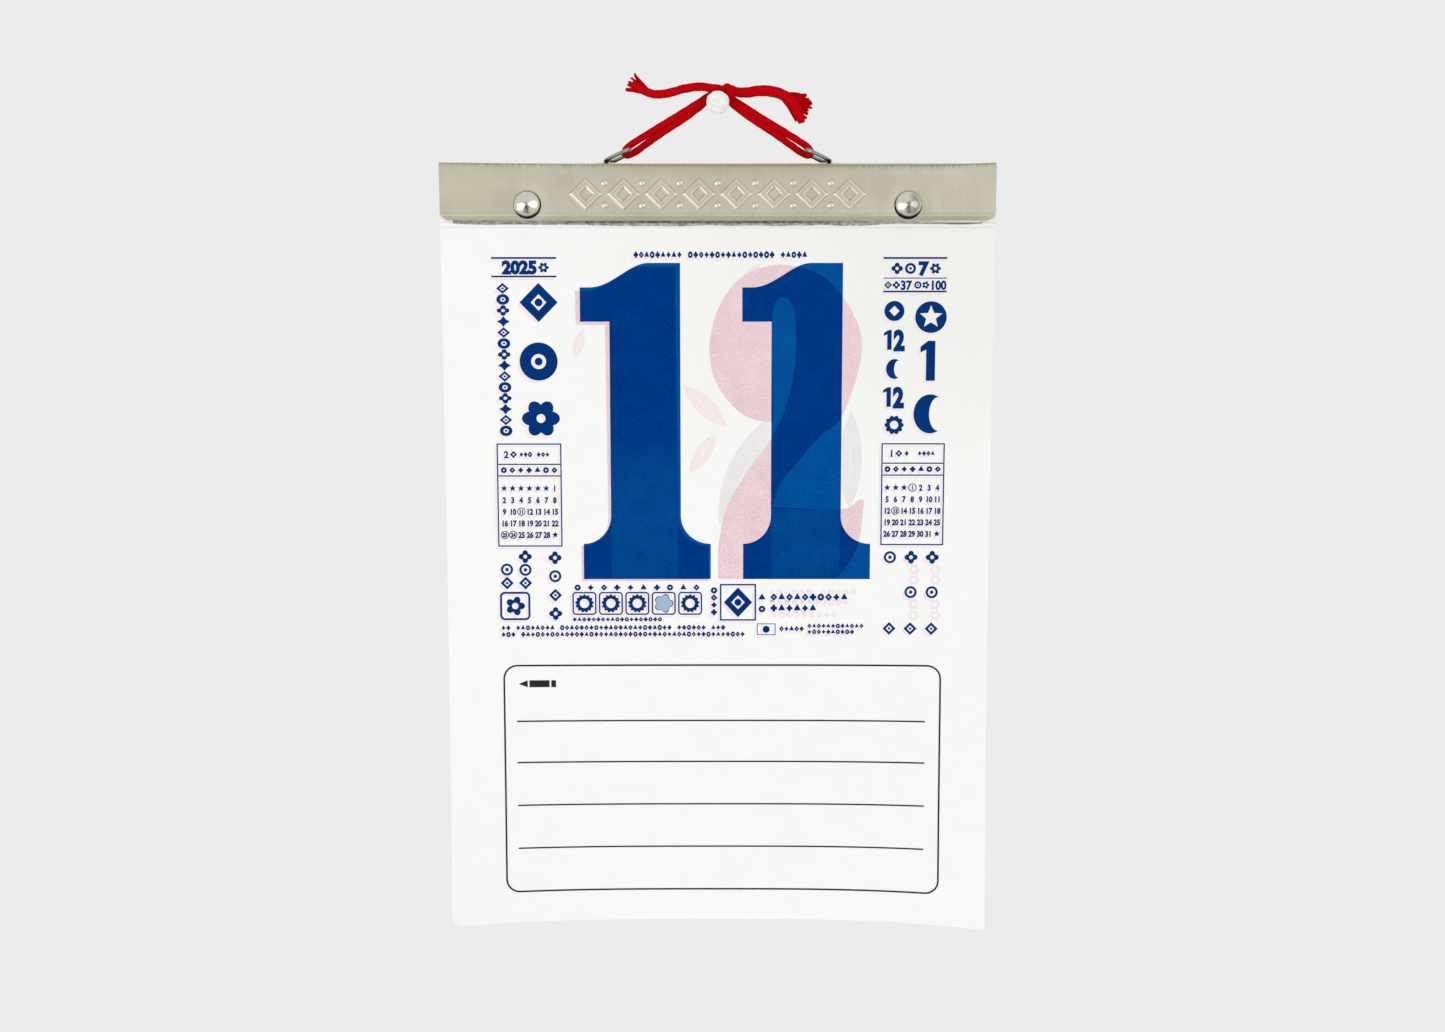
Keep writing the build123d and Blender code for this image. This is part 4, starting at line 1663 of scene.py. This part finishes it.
def cut_film(film, cell=4.5):
    """Cuts a film along a grid of lines."""
    shape = bmesh.new()
    shape.from_mesh(film.data)
    bmesh.ops.remove_doubles(shape, verts=shape.verts, dist=1e-7)
    for axis in (Vector((1, 0, 0)), Vector((0, 1, 0))):
        places = [vertex.co.dot(axis) / mm for vertex in shape.verts]
        line = math.ceil(min(places) / cell) * cell
        while line < max(places):
            through = axis * (line * mm)
            everything = shape.verts[:] + shape.edges[:] + shape.faces[:]
            bmesh.ops.bisect_plane(
                shape, geom=everything, plane_co=through, plane_no=axis, dist=1e-8
            )
            line += cell
    shape.to_mesh(film.data)
    shape.free()
    return film


def printed(film, name, finish, lift, body="day_leaf"):
    """Lays a flat film on a body's leaf, a little in front of it, and settles it."""
    front, curl = leaf_shapes[body]
    for vertex in film.data.vertices:
        x, z, up = (number / mm for number in vertex.co)
        vertex.co = (x * mm, (leaf_depth(x, z, front, curl) - lift - up) * mm, z * mm)
    film.data.update()
    settle(film, name, finish, body, "paper")


def copy_of(piece):
    """A second piece with its own mesh."""
    return new_piece(piece.name, piece.data.copy())


print("film helpers ready")

# %% Numeral films
numeral_film = flat_film(numerals)
ghost_film = cut_film(flat_film(ghost_numerals))
ghost_block = flat_film(ghost_numerals, 0.1)
deep_film = copy_of(numeral_film)
shared = deep_film.modifiers.new("behind", "BOOLEAN")
shared.operation = "INTERSECT"
shared.solver = "EXACT"
shared.object = ghost_block
apply_modifiers(deep_film)
bpy.data.objects.remove(ghost_block)
next_film = copy_of(ghost_film)
printed(ghost_film, "numeral_show_through", show_through, 0.02)
printed(cut_film(numeral_film), "numeral_print", numeral_blue, 0.035)
printed(cut_film(deep_film), "numeral_overlap", deep_blue, 0.05)
printed(cut_film(flat_film(paled_parts)), "numeral_paler_part", mid_blue, 0.065)
printed(next_film, "next_numeral_print", next_day_red, 0.02, "calendar")

# %% [markdown]
# ## Small print
# The columns at the sides, the two small month tables, the row of weather squares and
# the ruled memo box are all small shapes in one dark blue or grey. Each list of
# outlines below is one part of the page.

# %% Small marks
def hoop(x, z, outer, inner):
    """A ring with a dot in it."""
    return [disc(x, z, outer, 32), disc(x, z, inner, 28), disc(x, z, inner * 0.45, 16)]


def framed_lozenge(x, z, size):
    """A lozenge in a lozenge ring."""
    return [lozenge(x, z, size * share, size * share) for share in (1, 0.5, 0.24)]


def rosette(x, z, radius, petals):
    """A flower with a hole."""
    return [flower(x, z, radius, petals, 0.4, 12 * petals), disc(x, z, radius * 0.3, 20)]


def widened(outlines, x, share):
    """Outlines stretched sideways about one place."""
    return [[(x + (across - x) * share, up) for across, up in outline] for outline in outlines]


def small_one(x, z, wide, high, stem):
    """A bold figure 1 with a flag: x is the right side of its stem, z its middle."""
    top, low = z + high / 2, z - high / 2
    flag = [(x - 0.8 * stem, top), (x - wide, top - 0.15 * high), (x - wide, top - 0.29 * high)]
    return [(x, low), (x, top)] + flag + [(x - stem, top - 0.22 * high), (x - stem, low)]


def small_mark(kind, x, z, wide, tall=1.0):
    """One small mark: ring, lozenge, star, cross or triangle, a little taller than wide."""
    half = wide / 2
    outlines = (
        [disc(x, z, half, 14), disc(x, z, 0.3 * half, 10)],
        [lozenge(x, z, 1.06 * wide, 1.06 * wide), lozenge(x, z, 0.26 * wide, 0.26 * wide)],
        [star(x, z, half, 0.6 * half, 4)],
        [flower(x, z, half, 4, 0.4, 24)],
        [star(x, z, 1.14 * half, 0.6 * half, 3)],
    )[kind]
    return [[(across, z + (up - z) * tall) for across, up in outline] for outline in outlines]


mark_chance = random.Random(7)


def row_of_marks(left, right, z, pitch, tall=1.25):
    """A row of small marks, with a gap here and there."""
    shapes = []
    kind = 0
    for number in range(int((right - left) / pitch)):
        kind = (kind + mark_chance.choice((1, 2, 3))) % 5
        if mark_chance.random() > 0.06:
            wide = pitch * mark_chance.uniform(0.84, 0.93)
            shapes += small_mark(kind, left + (number + 0.5) * pitch, z, wide, tall)
    return shapes


print("small marks ready")

# %% Left column
small = rules(-74.5, -53.1, (-51.1, -50.5), (-57.1, -56.55))
small_figures = [("2025", -65.2, -53.75, 4.15, 1.0, 0.085)]
small += rosette(-57.3, -53.9, 1.75, 6)
for number in range(14):
    x, z = -70.9 + 0.03 * number, -60.7 - 3.62 * number
    mark = (
        framed_lozenge(x, z, 3.5),
        hoop(x, z, 1.75, 0.75),
        rosette(x, z, 1.75, 4),
        [star(x, z, 1.8, 1.0, 4)],
    )[number % 4]
    small += widened(mark, x, 1.2)
small += [lozenge(-59.1, -65.3, 12.6, 12.8), lozenge(-59.1, -65.3, 5.2, 5.4)]
small.append(disc(-59.1, -65.3, 1.3))
small += [disc(-59.35, -84.75, radius) for radius in (6.3, 2.5, 1.3)]
small += [flower(-58.85, -103.65, 6.3, 6, 0.27), disc(-58.85, -103.65, 1.5)]
print(len(small), "outlines in the left column")

# %% Right column
small += rules(54.5, 75.4, (-51.1, -50.5), (-57.5, -57.2), (-62.0, -61.45))
small += rosette(59.0, -54.2, 1.9, 4) + hoop(63.4, -54.2, 1.8, 1.0) + rosette(71.6, -54.2, 1.85, 6)
small += framed_lozenge(56.1, -59.6, 2.6) + rosette(58.8, -59.6, 1.25, 4)
small += hoop(65.9, -59.6, 1.2, 0.62) + rosette(68.5, -59.6, 1.25, 5)
small_figures += [
    ("7", 67.6, -54.1, 4.25, 1.0, 0.09),
    ("37", 62.0, -59.6, 2.95, 0.9, 0.06),
    ("100", 72.6, -59.6, 2.95, 0.88, 0.06),
]
small += [disc(58.3, -68.1, 3.3), lozenge(58.3, -68.1, 3.4, 3.4)]
small += [disc(70.4, -70.1, 5.2), star(70.4, -70.1, 3.9, 1.7, 5)]
small += [small_one(72.0, -84.5, 4.9, 13.2, 3.0), crescent(70.6, -102.1, 11.0, 13.0)]
for z in (-77.6, -96.5):
    small.append(small_one(57.5, z, 2.6, 6.5, 1.45))
    small_figures.append(("2", 60.0, z, 6.5, 0.76, 0.085))
small.append(crescent(58.6, -87.2, 5.6, 6.6))
small += [flower(58.7, -105.8, 3.2, 10, 0.2), disc(58.7, -105.8, 1.4)]
print(len(small), "outlines in both columns")

# %% Month tables
def month_table(left, low, right, high, heads, columns, rows, heading, weeks, ringed):
    """One small month table: frame, lines, plain numbers and stars for empty days."""
    shapes = framed(left, low, right, high, 0.15, 0.42)
    shapes += rules(left + 0.47, right - 0.47, *[(head - 0.2, head + 0.2) for head in heads])
    number, x, z = heading
    texts = [(number, x, z, 2.3, 1.0, 0.05)]
    shapes += rosette(x + 2.4, z, 1.1, 4) + row_of_marks(x + 4.3, x + 15.2, z, 1.45, 1.3)
    for column in range(7):
        x = columns[0] + (columns[1] - columns[0]) * column / 6
        shapes += small_mark(column % 5, x, (heads[0] + heads[1]) / 2, 2.0)
        for row, week in enumerate(weeks):
            z = rows[0] + (rows[1] - rows[0]) * row / 4
            day = week[column]
            if day == "*":
                shapes.append(star(x, z, 1.15, 0.5, 5))
            elif day in ringed:
                texts.append((day, x, z, 1.4, 0.8, 0.085))
                shapes += [disc(x, z, 1.38, 24), disc(x, z, 1.1, 24)]
            else:
                texts.append((day, x, z, 1.95, 0.82, 0.07))
    return shapes, texts


def week_rows(empty, days):
    """The days of a month in weeks, with stars before the first and after the last."""
    cells = ["*"] * empty + [str(day) for day in range(1, days + 1)]
    cells += ["*"] * (35 - len(cells))
    return [cells[number * 7:number * 7 + 7] for number in range(5)]


tables = (
    month_table(
        -73.8, -146.8, -52.2, -112.0, (-119.0, -122.9), (-71.5, -54.6), (-127.1, -142.8),
        ("2", -70.6, -115.7), week_rows(6, 28), ("11", "23", "24"),
    ),
    month_table(
        54.6, -146.3, 75.7, -111.9, (-118.6, -122.6), (56.7, 73.5), (-126.8, -142.4),
        ("1", 58.0, -115.3), week_rows(3, 31), ("1", "13"),
    ),
)
for shapes, texts in tables:
    small += shapes
    small_figures += texts
print(sum(len(texts) for shapes, texts in tables), "numbers in the month tables")

# %% Lower rows
square_left = -49.1
square_pitch = 8.92
square_middle = 4.05
square_height = -166.25
cloud_square = 3
row_table = [
    (-49.2, -18.6, -171.75, 1.6, 1.05),
    (17.6, 46.6, -164.1, 2.64, 1.08),
    (17.6, 34.5, -167.9, 2.64, 1.08),
    (-73.3, 2.8, -174.55, 1.65, 1.22),
    (-73.3, 12.4, -176.85, 1.65, 1.22),
    (20.7, 29.2, -175.0, 1.7, 1.2),
    (30.2, 50.7, -174.0, 1.6, 1.12),
    (30.2, 47.5, -176.05, 1.6, 1.12),
    (-27.8, 29.5, -49.75, 1.79, 1.4),
]
for number in range(5):
    left = square_left + number * square_pitch
    middle = (left + square_middle, square_height)
    small += framed(left, -170.2, left + 8.1, -162.3, 1.2, 0.48)
    if number == cloud_square:
        small += [flower(*middle, radius, 5, 0.3) for radius in (3.3, 2.95)]
    else:
        small += [star(*middle, 3.3, 2.65, 13), disc(*middle, 1.6, 28)]
    small += small_mark(number, left + 1.8, -160.8, 2.1)
    small += small_mark((number + 2) % 5, left + 6.2, -160.8, 2.1)
for row in row_table:
    small += row_of_marks(*row)
small += framed(-73.5, -171.9, -63.3, -162.2, 1.6, 0.68)
small += [flower(-68.4, -167.05, 3.3, 5, 0.4), disc(-68.4, -167.05, 1.1)]
small += framed(0.7, -172.2, 12.9, -159.6, 0.15, 0.5)
small += [lozenge(6.8, -165.9, 9.6, 10.2), lozenge(6.8, -165.9, 4.6, 4.8), disc(6.8, -165.9, 1.2)]
for number in range(4):
    small += small_mark(number, -1.3, -161.8 - 2.5 * number, 2.2)
small += small_mark(4, 14.9, -164.2, 2.4) + small_mark(0, 14.9, -168.2, 2.3)
small += framed(13.2, -177.2, 19.5, -173.2, 0.1, 0.25)
small.append(disc(16.35, -175.2, 1.2, 24))
print(len(small), "outlines with the lower rows")

# %% Upright columns of marks
upright = {
    -71.0: (-154.6, -159.2),
    -64.8: (-150.2, -154.7, -159.2),
    -54.8: (-150.6, -156.9, -163.4, -169.7),
    57.9: (-150.4, -174.8),
    65.0: (-150.4, -162.3, -174.8),
    72.1: (-150.4, -162.3, -174.8),
}
upright_places = [(x, z) for x, heights in upright.items() for z in heights]
for number, (x, z) in enumerate(upright_places):
    marks = (hoop(x, z, 2.05, 1.3), framed_lozenge(x, z, 4.4), rosette(x, z, 2.2, 4))
    small += marks[number % 3]
print(len(small), "outlines of small print")

# %% Memo box, its pencil mark and what shows through beside it
memo = framed(-72.8, -267.0, 75.7, -187.3, 4.8, 0.58)
memo_heights = (-206.9, -221.3, -236.3, -251.4)
memo += rules(-68.4, 70.4, *[(height - 0.255, height + 0.255) for height in memo_heights])
memo.append([(-67.6, -193.9), (-64.6, -195.1), (-64.6, -192.7)])
memo += [bar(-64.0, -195.1, -57.2, -192.7), bar(-56.6, -195.1, -55.0, -192.7)]
faint = []
for row in ((17.0, 47.0, -162.4), (17.0, 45.0, -166.0), (18.0, 42.0, -170.2)):
    faint += row_of_marks(*row, 2.5, 1.0)
for x in (66.0, 73.2):
    for z in (-154.6, -158.2, -166.5, -170.3):
        faint += [flower(x, z, 1.9, 6, 0.3, 36), disc(x, z, 0.8, 16)]
cloud_x = square_left + cloud_square * square_pitch + square_middle
cloud_shape = flower(cloud_x, square_height, 3.0, 5, 0.3)
print(len(memo), "outlines in the memo box and", len(faint), "faint ones")

# %% [markdown]
# The next leaf has plants on it, which show through as faint grey and pink leaves.
# Each is an almond shape with its vein left open.

# %% Faint leaves between the numerals
def almond(start, end, wide, count=14):
    """A pointed leaf from one place to another, with an open vein."""
    (x0, z0), (x1, z1) = start, end
    length = math.hypot(x1 - x0, z1 - z0)
    side_x, side_z = -(z1 - z0) / length, (x1 - x0) / length

    def edge(share, reach):
        bulge = reach * math.sin(math.pi * share) ** 0.8
        return (x0 + (x1 - x0) * share + side_x * bulge, z0 + (z1 - z0) * share + side_z * bulge)

    def vein_edge(share, way):
        return edge(0.15 + 0.7 * share, way * (0.05 + 0.3 * share * (1 - share)))

    shares = [number / count for number in range(count + 1)]
    outline = [edge(share, wide / 2) for share in shares]
    outline += [edge(share, -wide / 2) for share in reversed(shares[1:-1])]
    vein = [vein_edge(share, 1) for share in shares]
    return [outline, vein + [vein_edge(share, -1) for share in reversed(shares)]]


grey_leaves = almond((0.5, -139.5), (17.0, -103.5), 11.0)
grey_leaves += almond((44.2, -134.0), (44.4, -101.0), 7.6)
grey_leaves += almond((4.0, -66.0), (14.0, -52.6), 5.0)
pink_leaves = almond((-11.6, -92.5), (3.0, -106.5), 6.0)
pink_leaves += almond((-9.4, -122.0), (-0.5, -108.5), 5.0)
pink_leaves += almond((-47.5, -84.0), (-44.5, -73.5), 3.4)
print(len(grey_leaves) // 2, "grey leaves and", len(pink_leaves) // 2, "pink ones")

# %% Lay the small print on both leaves
ghost_shift = Vector((-0.75 * mm, -0.85 * mm, 0))
small_film = flat_film(small)
number_films = [figures(*text) for text in small_figures]
only(small_film)
for film in number_films:
    film.select_set(True)
bpy.ops.object.join()
cut_film(small_film)
memo_film = cut_film(flat_film(memo))
next_small, next_memo = copy_of(small_film), copy_of(memo_film)
ghost_small = copy_of(small_film)
for vertex in ghost_small.data.vertices:
    vertex.co += ghost_shift
printed(cut_film(flat_film(faint)), "faint_show_through", faint_pink, 0.02)
printed(cut_film(flat_film([cloud_shape])), "cloud_mark", pale_blue, 0.05)
printed(cut_film(flat_film(grey_leaves)), "grey_leaves_show_through", faint_grey, 0.01)
printed(cut_film(flat_film(pink_leaves)), "pink_leaves_show_through", faint_pink, 0.01)
printed(ghost_small, "small_show_through", faint_pink, 0.02)
printed(small_film, "small_print", small_blue, 0.035)
printed(memo_film, "memo_lines", line_grey, 0.035)
printed(next_small, "next_small_print", next_day_red, 0.02, "calendar")
printed(next_memo, "next_memo_lines", line_grey, 0.02, "calendar")
